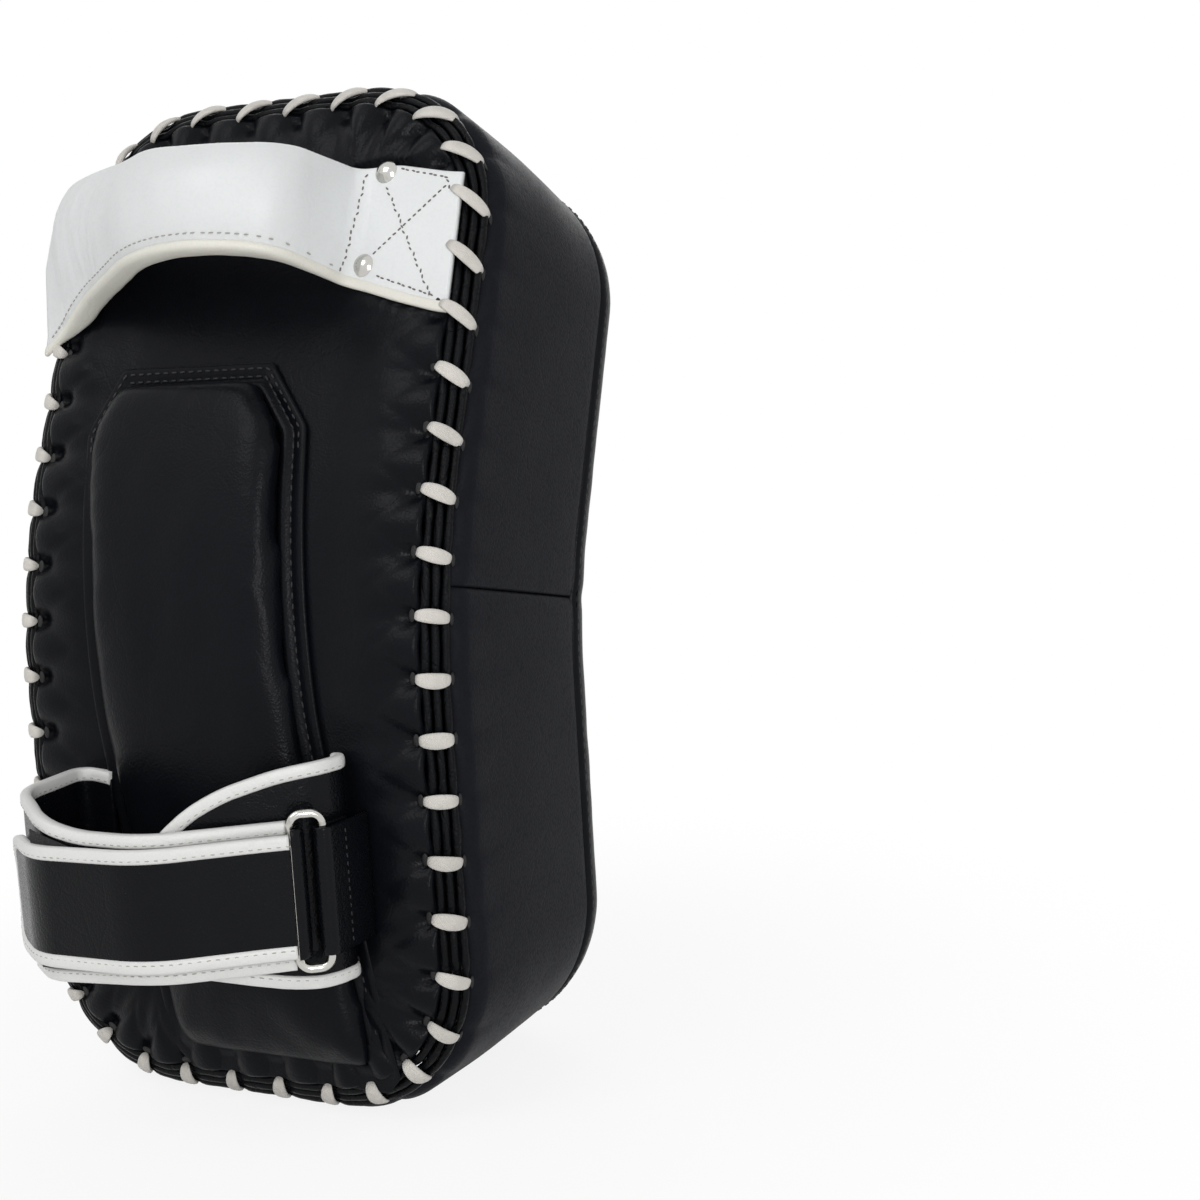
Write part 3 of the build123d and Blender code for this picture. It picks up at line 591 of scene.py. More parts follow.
# Leather finishes: name, colour setting, new and worn shade of it, roughness from smooth to
# dull, pebbles per metre, depth of grain and creases, darkness of the pores, shine
LEATHERS = {
    "body": ("Body leather", "body_colour", 1, 1.35, (0.28, 0.38), 900, 5e-5, 3e-5, 0.35, 0.085),
    # Side walls: a duller finish, with a colour set lighter than the body leather's as painted light on
    # the side walls
    "side": ("Side leather", "side_colour", 1, 1.25, (0.44, 0.54), 900, 5e-5, 3e-5, 0.35, 0.04),
    # Rolled edges: the body leather at half its colour when new, painted shade in the recess under the
    # lace
    "roll": ("Rolled edge leather", "body_colour", 0.5, 1, (0.36, 0.5), 1100, 1e-4, 2e-4, 0.35, 0.1),
    "strap": ("Strap leather", "body_colour", 0.8, 1.2, (0.20, 0.28), 1000, 5e-5, 3e-5, 0.35, 0.12),
    "grip": ("Grip leather", "grip_colour", 1, 0.95, (0.40, 0.52), 800, 2e-5, 2e-5, 0.08, 0.4),
    "binding": ("Strap binding", "binding_colour", 1, 0.92, (0.36, 0.5), 1300, 3e-5, 6e-5, 0.12, 0.4),
    "piping": ("Grip piping", "piping_colour", 1, 0.92, (0.34, 0.46), 1300, 3e-5, 5e-5, 0.12, 0.4),
}

# Threads and the painted shade in the lace holes: name, dark and light colour
THREADS = {
    "thread_dark": ("Black thread", (0.006, 0.006, 0.007), (0.02, 0.02, 0.022)),
    "thread_grey": ("Grey-brown thread", (0.10, 0.085, 0.075), (0.2, 0.18, 0.16)),
    "thread_light": ("Pale thread", (0.30, 0.28, 0.25), (0.5, 0.48, 0.44)),
    # Painted shade: near-black colour of the lace holes
    "hole": ("Lace hole", (0.002, 0.002, 0.002), (0.006, 0.006, 0.006)),
}


def leather_material(name, colour, worn, roughness, pebbles, bump, crease, pores, shine):
    """Leather from its new and worn colour: grain, pores, creases, wear and shine."""
    material, tree, shader, coords = shader_base(name)
    grain = use_group(tree, "grain", coords, Pebbles_per_metre=pebbles)
    wear = use_group(tree, "wear", coords)
    smooth, dull = roughness
    tone = mix_colour(tree, math_node(tree, "MULTIPLY", wear["Patches"], 0.55), colour, worn)
    dark = math_node(tree, "MULTIPLY", grain["Pores"], pores)
    tone = mix_colour(tree, dark, tone, shaded(colour, 0.72))
    rough = math_node(tree, "MULTIPLY_ADD", wear["Patches"], (dull - smooth) * 0.6, smooth)
    rough = math_node(tree, "MULTIPLY_ADD", wear["Rub"], (dull - smooth) * 0.4, rough)
    rough = math_node(tree, "MULTIPLY_ADD", grain["Pores"], 0.08, rough)
    feed_shader(tree, shader, tone, rough)
    folds = math_node(tree, "MULTIPLY", wear["Creases"], -1.0)
    below = add_bump(tree, shader, folds, crease)
    add_bump(tree, shader, grain["Height"], bump, below)
    shader.inputs["Specular IOR Level"].default_value = shine
    return material


def lace_material(colour):
    """Flat lace: twill lines along it, soft fuzz, and each stitch darker towards both ends, where it
    goes into its holes.
    """
    material, tree, shader, coords = shader_base("Whip lace")
    along = node(tree, "ShaderNodeUVMap", uv_map="along").outputs[0]
    split = node(tree, "ShaderNodeSeparateXYZ", {0: along}).outputs["X"]
    ends = math_node(tree, "ABSOLUTE", math_node(tree, "SUBTRACT", split, 0.5))
    ends_darker = smooth_range(tree, ends, 0.30, 0.5)
    fuzz = cloud(tree, coords, 900.0, 4.0)
    patch = smooth_range(tree, cloud(tree, coords, 90.0, 2.0), 0.4, 0.7)
    tone = mix_colour(tree, patch, colour, shaded(colour, 0.86))
    # Each stitch darker towards both ends, where it goes into its holes
    tone = mix_colour(tree, math_node(tree, "MULTIPLY", ends_darker, 0.75), tone, shaded(colour, 0.42))
    feed_shader(tree, shader, tone, math_node(tree, "MULTIPLY_ADD", fuzz, 0.2, 0.62))
    below = add_bump(tree, shader, twill(tree, coords, 620.0, 1.5), 0.00010)
    add_bump(tree, shader, fuzz, 0.00035, below)
    shader.inputs["Sheen Weight"].default_value = 0.2
    shader.inputs["Sheen Roughness"].default_value = 0.5
    return material


def print_material(colour):
    """Screen print on leather: chalky grey with pinholes and hairline cracks."""
    material, tree, shader, coords = shader_base("Target print")
    grain = use_group(tree, "grain", coords, Pebbles_per_metre=900.0)
    wear = use_group(tree, "wear", coords)
    tone = mix_colour(tree, wear["Patches"], colour, shaded(colour, 0.94))
    rubbed = math_node(tree, "MULTIPLY", wear["Rub"], 0.22)
    tone = mix_colour(tree, rubbed, tone, shaded(colour, 0.7))
    pinholes = smooth_range(tree, cloud(tree, coords, 1500.0, 2.0), 0.66, 0.74)
    tone = mix_colour(tree, math_node(tree, "MULTIPLY", pinholes, 0.5), tone, (0.03, 0.03, 0.034))
    feed_shader(tree, shader, tone, math_node(tree, "MULTIPLY_ADD", wear["Patches"], 0.12, 0.5))
    add_bump(tree, shader, grain["Height"], 0.00007)
    return material


def nickel_material():
    """Nickel plate: bright, with fine scratches and a few dull spots."""
    material, tree, shader, coords = shader_base("Nickel plate")
    inputs = {"Vector": coords, "Scale": (1.0, 0.25, 0.15)}
    stretched = node(tree, "ShaderNodeMapping", inputs).outputs[0]
    scratch = cloud(tree, stretched, 1400.0, 6.0, 0.7)
    dull = smooth_range(tree, cloud(tree, coords, 160.0, 3.0), 0.55, 0.72)
    tone = mix_colour(tree, dull, (0.56, 0.55, 0.52), (0.36, 0.35, 0.32))
    rough = math_node(tree, "MULTIPLY_ADD", scratch, 0.16, 0.08)
    feed_shader(tree, shader, tone, math_node(tree, "MULTIPLY_ADD", dull, 0.12, rough))
    shader.inputs["Metallic"].default_value = 1.0
    add_bump(tree, shader, scratch, 0.00002)
    return material


def tape_material():
    """Hook and loop tape: dull black pile."""
    material, tree, shader, coords = shader_base("Hook and loop tape")
    pile = node(tree, "ShaderNodeTexVoronoi", {"Vector": coords, "Scale": 1500.0}).outputs["Distance"]
    tone = mix_colour(tree, pile, (0.02, 0.02, 0.022), (0.004, 0.004, 0.005))
    feed_shader(tree, shader, tone, math_node(tree, "MULTIPLY_ADD", pile, 0.2, 0.75))
    add_bump(tree, shader, pile, 0.0003)
    return material


def thread_material(name, dark, light):
    """Twisted sewing thread, its colour painted darker in the twist's grooves and lighter on its ridges
    as painted shade.
    """
    material, tree, shader, coords = shader_base(name)
    twist = twill(tree, coords, 1500.0, 0.6)
    # Painted shade: dark in the grooves of the twist, light on its ridges
    tone = mix_colour(tree, twist, dark, light)
    feed_shader(tree, shader, tone, math_node(tree, "MULTIPLY_ADD", twist, 0.15, 0.55))
    add_bump(tree, shader, twist, 0.00006)
    return material


def build_finishes(look):
    """Makes all finishes of the pad from the settings' colours and fills FINISH."""
    for key, (name, setting, new, worn, *grain) in LEATHERS.items():
        colour = getattr(look, setting)
        FINISH[key] = leather_material(name, shaded(colour, new), shaded(colour, worn), *grain)
    FINISH["lace"] = lace_material(tuple(look.lace_colour))
    FINISH["print"] = print_material(tuple(look.target_colour))
    FINISH["nickel"] = nickel_material()
    FINISH["tape"] = tape_material()
    for key, (name, dark, light) in THREADS.items():
        FINISH[key] = thread_material(name, dark, light)


# ---------------------------------------------------------------- leather of the body
def row_table(rows):
    """Turns a list of (inset, depth) rows into a look-up for the grid's v."""
    last = len(rows) - 1
    return last, lambda v: rows[round(v * last)]


def build_strike_leather():
    """Strike panel: from the middle line out to the rounded rim and its turned-in seam."""
    middle = WIDTH / 2
    rows = [(middle * (1 - k / 9) + DEEP * k / 9, 0.0) for k in range(9)]
    rows += [(DEEP - (DEEP - RIM_RADIUS) * k / 12, 0.0) for k in range(13)]
    for k in range(1, 9):
        s, c = math.sin(k / 8 * math.pi / 2), math.cos(k / 8 * math.pi / 2)
        rows.append((RIM_RADIUS * (1 - s) - 0.0005 * s, RIM_RADIUS * (1 - c)))
    rows += [(-0.0004, 0.0138), (0.0002, 0.0150), (0.0010, 0.0157), (0.0022, 0.0161), (0.0034, 0.0162)]
    last, look_up = row_table(rows)

    def place(u, v):
        inset, depth = look_up(v)
        share = u + FIRST_SHARE
        x, run = deep_spot(share, inset)
        spot = pad_point(x, run, depth)
        if inset < 0.010:
            pull = 0.0007 * hump(run - WAIST_RUN, 0.006) * (1 if abs(x) > FLAT else 0)
            x, run = deep_spot(share, inset + pull + 0.00025 * ripple(spot, 0.012, 3.0))
            spot = pad_point(x, run, depth)
        return spot

    return face_out(shaped_grid("strike_leather", 480, last, place, wrap_columns=True))


def seam_shares():
    """Shares of the way round where the waist seam crosses the outline, right and left."""
    way = 2 * FLAT + CORNER_LENGTH + SIDE_LENGTH + (WAIST_RUN - STRAIGHT) * STRETCH
    return way / OUTLINE_LENGTH, 1 - (way - 2 * FLAT) / OUTLINE_LENGTH


def build_gusset_leather(name, upper, swelling):
    """One length of the side wall, its ends turned in at the waist seam."""
    front, back = 0.0188, 0.1046
    rows = [(0.0036, 0.0163), (0.0024, 0.0164), (0.0012, 0.0168), (0.0004, 0.0176), (0.0, front)]
    rows += [(0.0, front + (back - front) * k / 25) for k in range(1, 26)]
    for k in range(1, 13):
        angle = k / 12 * math.pi / 2
        rows.append((GUSSET_ROUND * (1 - math.cos(angle)), back + GUSSET_ROUND * math.sin(angle)))
    last, look_up = row_table(rows)
    right, left = seam_shares()
    begin, end = (right, left) if upper else (left, right + 1.0)
    gap = 0.00012 / OUTLINE_LENGTH
    begin, end = begin + gap, end - gap
    ease = [0.0, 0.0003, 0.0007, 0.0012, 0.0019, 0.0028, 0.0042]
    whole = (end - begin) * OUTLINE_LENGTH
    even = whole - 2 * ease[-1]
    count = round(even / 0.00205)
    ways = ease + [ease[-1] + even * k / count for k in range(1, count)]
    ways += [whole - way for way in reversed(ease)]
    columns = len(ways) - 1

    def place(u, v):
        inset, depth = look_up(v)
        way = ways[round(u * columns)]
        share = begin + way / OUTLINE_LENGTH
        near = min(way, whole - way)
        x, run = outline_spot(share, 0.0)
        spot = pad_point(x, run, depth)
        swell = math.sin(math.pi * clamp((depth - 0.0165) / 0.090))
        bulge = swelling * swell ** 0.7 + 0.0004 * ripple(spot, 0.045, 1.0) * swell
        seam = 0.0016 * math.exp(-near / 0.0006) + 0.0009 * hump(near, 0.0055)
        waves = math.sin(depth / 0.0011 + 2.2 * ripple(spot, 0.02, 5.0))
        pleats = 0.00035 * waves * math.exp(-near / 0.009) * swell
        distance, part = stitch_wave(share)
        reach = 0.1106 - depth
        inner = max(reach, 0)
        dent = 0.0012 * hump(distance, 0.0034) * hump(reach, 0.0045)
        fold = 0.0007 * hump(distance, 0.0022) * math.exp(-inner / 0.014)
        puff = 0.0006 * math.sin(math.pi * part) ** 2 * hump(inner, 0.016)
        inset += seam + pleats + dent + fold - bulge - puff
        return pad_point(*outline_spot(share, inset), depth)

    return face_out(shaped_grid(name, columns, last, place))


def panel_lift(share, inset, puffing):
    """Height of the back panel's leather over its plain surface: dents at the lace, puffs between."""
    x, run = deep_spot(share, inset)
    distance, part = stitch_wave(share)
    reach = inset - LACE_IN[0] - 0.0012
    lift = -0.0024 * hump(distance, 0.0034) * hump(reach, 0.0050)
    if reach > 0:
        lift -= 0.0017 * hump(distance, 0.0018 + reach * 0.14) * math.exp(-reach / 0.015)
        lift -= 0.0013 * hump(distance - reach * 0.62, 0.0019) * math.exp(-reach / 0.020)
    lift += puffing * math.sin(math.pi * part) ** 2 * hump(max(inset - 0.0170, 0), 0.013)
    drift = Vector((x * 0.8 + run * 0.5, run * 0.6 - x, 0))
    lift += 0.0009 * ripple(drift, 0.022, 2.0) * clamp((0.062 - inset) / 0.02)
    return lift + 0.0024 * math.sin(math.pi * clamp((inset - 0.014) / 0.040))


def under_tabs(x, run):
    """Whether a tab of the grip lies on the panel here."""
    return grip_low(-x) - 0.002 < run < grip_high(-x) + 0.002 and not -0.037 <= x <= 0.074


def build_panel_leather(puffing):
    """Back panel: turned down at the rolls, dented at each stitch, smooth in the middle."""
    edge = 0.01445
    rows = [(0.01265, -0.0026), (0.01275, -0.0016), (0.01305, -0.0008), (0.01365, -0.0003)]
    rows += [(edge, -0.0001)] + [(edge + 0.0015 * k, 0.0) for k in range(1, 23)]
    rows += [(DEEP + (WIDTH / 2 - DEEP) * k / 9, 0.0) for k in range(10)]
    last, look_up = row_table(rows)

    def place(u, v):
        inset, height = look_up(v)
        share = u + FIRST_SHARE
        lift = panel_lift(share, inset, puffing)
        x, run = deep_spot(share, inset)
        if lift > 0 and under_tabs(x, run):
            lift *= 0.1
        return pad_point(x, run, DEPTH + height + lift)

    return face_out(shaped_grid("back_leather", AROUND, last, place, wrap_columns=True))


def build_roll(name, seed):
    """Rolled edge: a leather tube pinched under each stitch and standing proud between them."""
    inset, drop = ROLLS[name]
    turn = math.radians(40)

    def place(u, v):
        share = u + FIRST_SHARE
        distance, part = stitch_wave(share)
        pinch = hump(distance, 0.0032)
        angle = 2 * math.pi * v
        spot = Vector((*outline_spot(share, inset), 0))
        flat = 0.05 * math.cos(2 * (angle - turn))
        radius = ROLL_RADIUS * (1.00 - 0.20 * pinch + 0.20 * ripple(spot, 0.007, seed) - flat)
        proud = 0.0005 * (1 - pinch) * math.sin(math.pi * part) - 0.0004 * pinch
        across = inset + math.cos(angle) * radius - proud * math.cos(turn)
        height = -drop + math.sin(angle) * radius + proud * math.sin(turn)
        return pad_point(*outline_spot(share, across), DEPTH + height)

    return shaped_grid(name + "_leather", AROUND, 10, place, wrap_columns=True, wrap_rows=True)


def build_body_stitching(pitch):
    """Topstitching just in front of the strike panel's seam."""
    count = 1500
    points = [
        pad_point(*outline_spot(k / count, -FIT), SEAM_STITCH_DEPTH) for k in range(count + 1)
    ]
    steps = [ahead - here for here, ahead in zip(points, points[1:])]
    spots = []
    for index, part in walk([step.length for step in steps], pitch):
        share = index / count
        inner = pad_point(*outline_spot(share, 0.0), SEAM_STITCH_DEPTH)
        outer = pad_point(*outline_spot(share, -0.001), SEAM_STITCH_DEPTH)
        middle = points[index].lerp(points[index + 1], part)
        spots.append((middle, steps[index], outer - inner))
    return thread_row("seam_stitching", spots, SEAM_THREAD, seed=41)


# ---------------------------------------------------------------- whip lacing
lace_slant = between([
    (0.0, 0.0020), (0.15, 0.0045), (0.35, 0.0005), (0.5, 0.0010), (0.7, 0.0060), (0.95, 0.0125),
], 0.02)


def circle_through(first, top, last):
    """Centre, first arm, axis and sweep of the arc through three points."""
    a, b = top - first, last - first
    normal = a.cross(b)
    aside = normal.cross(a) * b.length_squared + b.cross(normal) * a.length_squared
    centre = first + aside / (2 * normal.length_squared)
    arm = first - centre
    axis = normal.normalized()
    side = axis.cross(arm.normalized())
    sweep = math.atan2((last - centre).dot(side), (last - centre).dot(arm.normalized()))
    return centre, arm, axis, sweep if sweep > 0 else sweep + 2 * math.pi


def lace_frame(number):
    """Arc of one stitch over the rolls, from its hole in the panel to its hole in the gusset."""
    share = (number + LACE_PHASE) / LACE_COUNT
    ahead = pad_point(*outline_spot(share + 1e-4, LACE_INSET), DEPTH)
    behind = pad_point(*outline_spot(share - 1e-4, LACE_INSET), DEPTH)
    along = (ahead - behind).normalized()
    x, run = outline_spot(share, LACE_INSET)
    spot = pad_point(x, run, DEPTH)
    out = pad_out(run)
    inward = along.cross(out)
    slant = lace_slant(spot.z / LENGTH)
    lift = GRIP_LEATHER + 0.0002 if under_tabs(*outline_spot(share, LACE_IN[0])) else 0.0
    start = Vector((LACE_IN[0], LACE_IN[1] + lift))
    finish = Vector(LACE_OUT)
    chord = finish - start
    middle = (start + finish) / 2 + Vector((chord.y, -chord.x)).normalized() * LACE_RISE

    def put(point, shift):
        return spot + inward * (point.x - LACE_INSET) + out * point.y + along * shift

    ends = put(start, -slant / 2), put(middle, 0.0), put(finish, slant / 2)
    return *ends, along, out, inward


def build_lace(width, thickness):
    """All stitches of the whip lace: pillow-like straps whose ends go down into their holes."""
    shape = bmesh.new()
    rng = random.Random(7)
    for number in range(LACE_COUNT):
        centre, arm, axis, sweep = circle_through(*lace_frame(number)[:3])
        wide = width / 2 + rng.uniform(-0.00025, 0.00025)
        skew = rng.uniform(-0.0005, 0.0005)
        twist = rng.uniform(-0.16, 0.16)
        fat = thickness / 2 + rng.uniform(-0.00015, 0.00015)

        def place(u, v):
            rotation = Matrix.Rotation(sweep * (-0.05 + 1.10 * u), 3, axis)
            reach = rotation @ arm
            radial = reach.normalized()
            body = max(0.0, math.sin(math.pi * clamp(u)))
            half_width = wide * (0.06 + 0.94 * body ** 0.42)
            half_height = fat * (0.10 + 0.90 * body ** 0.5)
            tuck = -0.0012 * math.exp(-min(u, 1 - u) / 0.05)
            c, s = superellipse(2 * math.pi * v, 0.75, 0.8)
            lean = twist * (u - 0.5)
            across = axis * math.cos(lean) + radial * math.sin(lean)
            aside = c * half_width + skew * math.sin(math.pi * u)
            return centre + reach + across * aside + radial * (s * half_height + tuck)

        grid_into(shape, 18, 12, place, wrap_rows=True)
    return finish_shape("whip_lace", shape, fill_ends=True)


def build_lace_hole_shade():
    """Painted shade: dark blobs for the mouths of the lace holes, sunk in the leather at both ends of
    every stitch.
    """
    shape = bmesh.new()
    scale = Matrix.Diagonal((0.0026, 0.0014, 0.0005, 1.0))
    for number in range(LACE_COUNT):
        first, _, last, along, out, inward = lace_frame(number)
        for spot, normal in (
            (first + inward * 0.0016 - out * 0.0012, out),
            (last - out * 0.0014 + inward * 0.0002, -inward),
        ):
            side = normal.cross(along).normalized()
            turn = Matrix((along, side, normal)).transposed().to_4x4()
            bmesh.ops.create_icosphere(
                shape, subdivisions=2, radius=1.0, matrix=Matrix.Translation(spot) @ turn @ scale)
    return finish_shape("lace_holes", shape)


# ---------------------------------------------------------------- bent lines for straps
def directions(points):
    """Directions of the runs between corner points."""
    return [(after - before).normalized() for before, after in zip(points, points[1:])]


def left_of(direction):
    """Direction to the left of another in the plan."""
    return Vector((-direction.y, direction.x))


def bent_line(points, radii, step=0.001):
    """Points and directions along a bent line whose corners are rounded, as pairs."""
    points = [Vector(point) for point in points]
    runs = directions(points)
    samples = []
    here = points[0]

    def go_straight(target):
        count = max(1, round((target - here).length / step))
        direction = (target - here).normalized()
        samples.extend((here.lerp(target, k / count), direction) for k in range(count))

    for corner, one, two, radius in zip(points[1:], runs, runs[1:], radii):
        bend = one.angle_signed(two)
        if abs(bend) < 1e-6:
            continue
        cut = radius * math.tan(abs(bend) / 2)
        enter, leave = corner - one * cut, corner + two * cut
        go_straight(enter)
        centre = enter + left_of(one) * (1 if one.cross(two) > 0 else -1) * radius
        first, last = enter - centre, leave - centre
        turn = math.atan2(first.cross(last), first.dot(last))
        count = max(3, round(abs(turn) * first.length / step))
        for k in range(count):
            c, s = math.cos(turn * k / count), math.sin(turn * k / count)
            arm = Vector((first.x * c - first.y * s, first.x * s + first.y * c))
            ahead = left_of(arm).normalized() * (1 if turn > 0 else -1)
            samples.append((centre + arm, ahead))
        here = leave
    go_straight(points[-1])
    samples.append((points[-1], runs[-1]))
    return samples


def shifted(points, shift):
    """Corner points of a bent line moved to the left of its run."""
    points = [Vector(point) for point in points]
    sides = [left_of(run) for run in directions(points)]
    moved = [points[0] + sides[0] * shift]
    for corner, before, after in zip(points[1:-1], sides, sides[1:]):
        moved.append(corner + (before + after) * (shift / (1 + before.dot(after))))
    moved.append(points[-1] + sides[-1] * shift)
    return moved


def shifted_radii(points, radii, shift):
    """Bend radii of that line after the move."""
    runs = directions([Vector(point) for point in points])
    turns = [1 if before.cross(after) > 0 else -1 for before, after in zip(runs, runs[1:])]
    return [radius - shift * turn for radius, turn in zip(radii, turns)]


class Band:
    """Surface of a strap along a bent line, read by way along it, place across and height off it."""

    def __init__(self, points, radii, to_frame):
        self.samples = bent_line(points, radii)
        self.ways = [0.0]
        for (before, _), (after, _) in zip(self.samples, self.samples[1:]):
            self.ways.append(self.ways[-1] + (after - before).length)
        self.length = self.ways[-1]
        self.to_frame = to_frame

    def middle(self, way):
        """Place and direction on the centre line."""
        way = min(max(way, 0.0), self.length)
        low, high = 0, len(self.ways) - 1
        while high - low > 1:
            mid = (low + high) // 2
            if self.ways[mid] <= way:
                low = mid
            else:
                high = mid
        span = self.ways[high] - self.ways[low]
        part = 0.0 if span < 1e-9 else (way - self.ways[low]) / span
        place = self.samples[low][0].lerp(self.samples[high][0], part)
        direction = self.samples[low][1].lerp(self.samples[high][1], part).normalized()
        return place, direction

    def at(self, way, across, height):
        """Point in the frame; height is to the left of the line's run."""
        place, direction = self.middle(way)
        over = min(way, 0.0) + max(way - self.length, 0.0)
        return self.to_frame(place + direction * over + left_of(direction) * height, across)

    def way_of(self, x):
        """Way along at which the line first passes a place across the pad."""
        best = min(range(len(self.samples)), key=lambda k: abs(self.samples[k][0].x - x))
        return self.ways[best]


def strap_to_frame(spot, across):
    """From the strap's plan (right as seen from behind, off the panel) and height up the pad."""
    return Vector((-spot.x, DEPTH / 2 + spot.y, across))


def strap_sheet(shape, band, start, low, high, thickness, grid, soft=0.22, wave=0.0002, seed=1.0):
    """Leather band between two edges, with softly rounded edges and a slight waviness."""
    def place(u, v):
        way = start + (band.length - start) * u
        c, s = superellipse(2 * math.pi * v, soft, soft)
        bottom, top = low(way), high(way)
        across = (bottom + top) / 2 + (top - bottom) / 2 * c
        lift = wave * ripple(Vector((way, across, 0)), 0.014, seed) * (1 - abs(c) ** 6)
        return band.at(way, across, s * thickness / 2 + lift)

    grid_into(shape, *grid, place, wrap_rows=True)


def edge_binding(shape, band, route, width, thickness, seed):
    """Folded tape along a route of (way, across, inward way, inward across) on a band."""
    last = len(route) - 1

    def place(u, v):
        way, across, in_way, in_across = route[round(u * last)]
        c, s = superellipse(2 * math.pi * v, 0.55, 0.62)
        plump = 1 + 0.05 * ripple(Vector((way, across, 0)), 0.009, seed)
        depth = width / 2 + width / 2 * c
        return band.at(way + in_way * depth, across + in_across * depth, s * thickness / 2 * plump)

    grid_into(shape, last, 16, place, wrap_rows=True)


def route_on(edge, start, end, inward):
    """Binding route along one edge of a strap: edge(way) is its place across, inward +1 or -1."""
    count = max(2, round(abs(end - start) / 0.0012))
    route = []
    for k in range(count + 1):
        way = start + (end - start) * k / count
        slope = (edge(way + 0.0005) - edge(way - 0.0005)) / 0.001
        scale = math.hypot(1.0, slope)
        route.append((way, edge(way), -slope * inward / scale, inward / scale))
    return route


def both_routes(band, edges):
    """Binding routes along the whole lower and upper edge of a strap."""
    return [route_on(edge, 0.0, band.length, inward) for edge, inward in zip(edges, (1.0, -1.0))]


def stitches_on(band, route, depth, height, pitch, side):
    """Sewing spots along a route, a depth inside it and on one face of the band."""
    def line(height):
        return [
            band.at(way + in_way * depth, across + in_across * depth, height)
            for way, across, in_way, in_across in route
        ]

    points, outs = line(height), line(height + side * 0.001)
    steps = [ahead - here for here, ahead in zip(points, points[1:])]
    return [
        (points[index].lerp(points[index + 1], part), steps[index].normalized(),
         (outs[index] - points[index]).normalized())
        for index, part in walk([step.length for step in steps], pitch, pitch / 2)
    ]


# ---------------------------------------------------------------- forearm pad
forearm_lean = between(
    [(0.0, -0.0218), (0.019, -0.0183), (0.145, 0.0050), (0.280, 0.0202), (0.300, 0.0224)], 0.01)


def forearm_corners(inset):
    """Corners of the forearm pad's outline across and up the pad, drawn in by an inset."""
    right = [
        Vector((FOREARM_HALF - FOREARM_BOTTOM_CUT, FOREARM_BOTTOM)),
        Vector((FOREARM_HALF, FOREARM_BOTTOM + FOREARM_BOTTOM_CUT)),
        Vector((FOREARM_HALF, FOREARM_TOP - FOREARM_TOP_CUT[1])),
        Vector((FOREARM_HALF - FOREARM_TOP_CUT[0], FOREARM_TOP)),
    ]
    left = [Vector((-corner.x, corner.y)) for corner in reversed(right)]
    corners = [left[-1], *right, *left[:-1]]
    return shifted([corners[-1], *corners, *corners[:2]], inset)[1:-2]


def forearm_ring(inset, count, smoothing):
    """Even points of the drawn-in outline with softened corners."""
    corners = forearm_corners(min(inset, FOREARM_MERGE))
    base = forearm_corners(0.0)
    sides = len(base)
    lengths = [(base[(k + 1) % sides] - base[k]).length for k in range(sides)]
    whole = sum(lengths)
    points = []
    for index in range(count):
        way = index / count * whole
        edge = 0
        while edge < sides - 1 and way > lengths[edge]:
            way -= lengths[edge]
            edge += 1
        points.append(corners[edge].lerp(corners[(edge + 1) % sides], way / lengths[edge]))
    for _ in range(smoothing):
        points = [
            (points[k - 1] + points[k] * 2 + points[(k + 1) % count]) / 4 for k in range(count)
        ]
    if inset > FOREARM_MERGE:
        keep = max(0.0, (FOREARM_HALF - inset) / (FOREARM_HALF - FOREARM_MERGE))
        middle = (FOREARM_BOTTOM + FOREARM_TOP) / 2
        half = (FOREARM_TOP - FOREARM_BOTTOM) / 2 - FOREARM_MERGE
        shrink = 1 - (1 - keep) * (FOREARM_HALF - FOREARM_MERGE) / half
        points = [Vector((p.x * keep, middle + (p.y - middle) * shrink)) for p in points]
        if keep < 1e-6:
            points = [Vector((0.0, round(p.y / 0.003) * 0.003)) for p in points]
    return points


def forearm_point(spot, height):
    """Point over the panel for a place on the pad, which leans a little and is thin at its foot."""
    foot = 0.10 + 0.90 * soft_step((spot.y - FOREARM_BOTTOM) / 0.024)
    return pad_point(spot.x + forearm_lean(spot.y), spot.y, DEPTH + height * foot)


def ringed_sheet(name, rows, count, smoothing):
    """Sheet of rings round the forearm pad's outline; rows are (inset, height above the panel)."""
    rings = [forearm_ring(inset, count, smoothing) for inset, _ in rows]
    last = len(rows) - 1

    def place(u, v):
        row = round(v * last)
        return forearm_point(rings[row][round(u * count) % count], rows[row][1])

    return shaped_grid(name, count, last, place, wrap_columns=True)


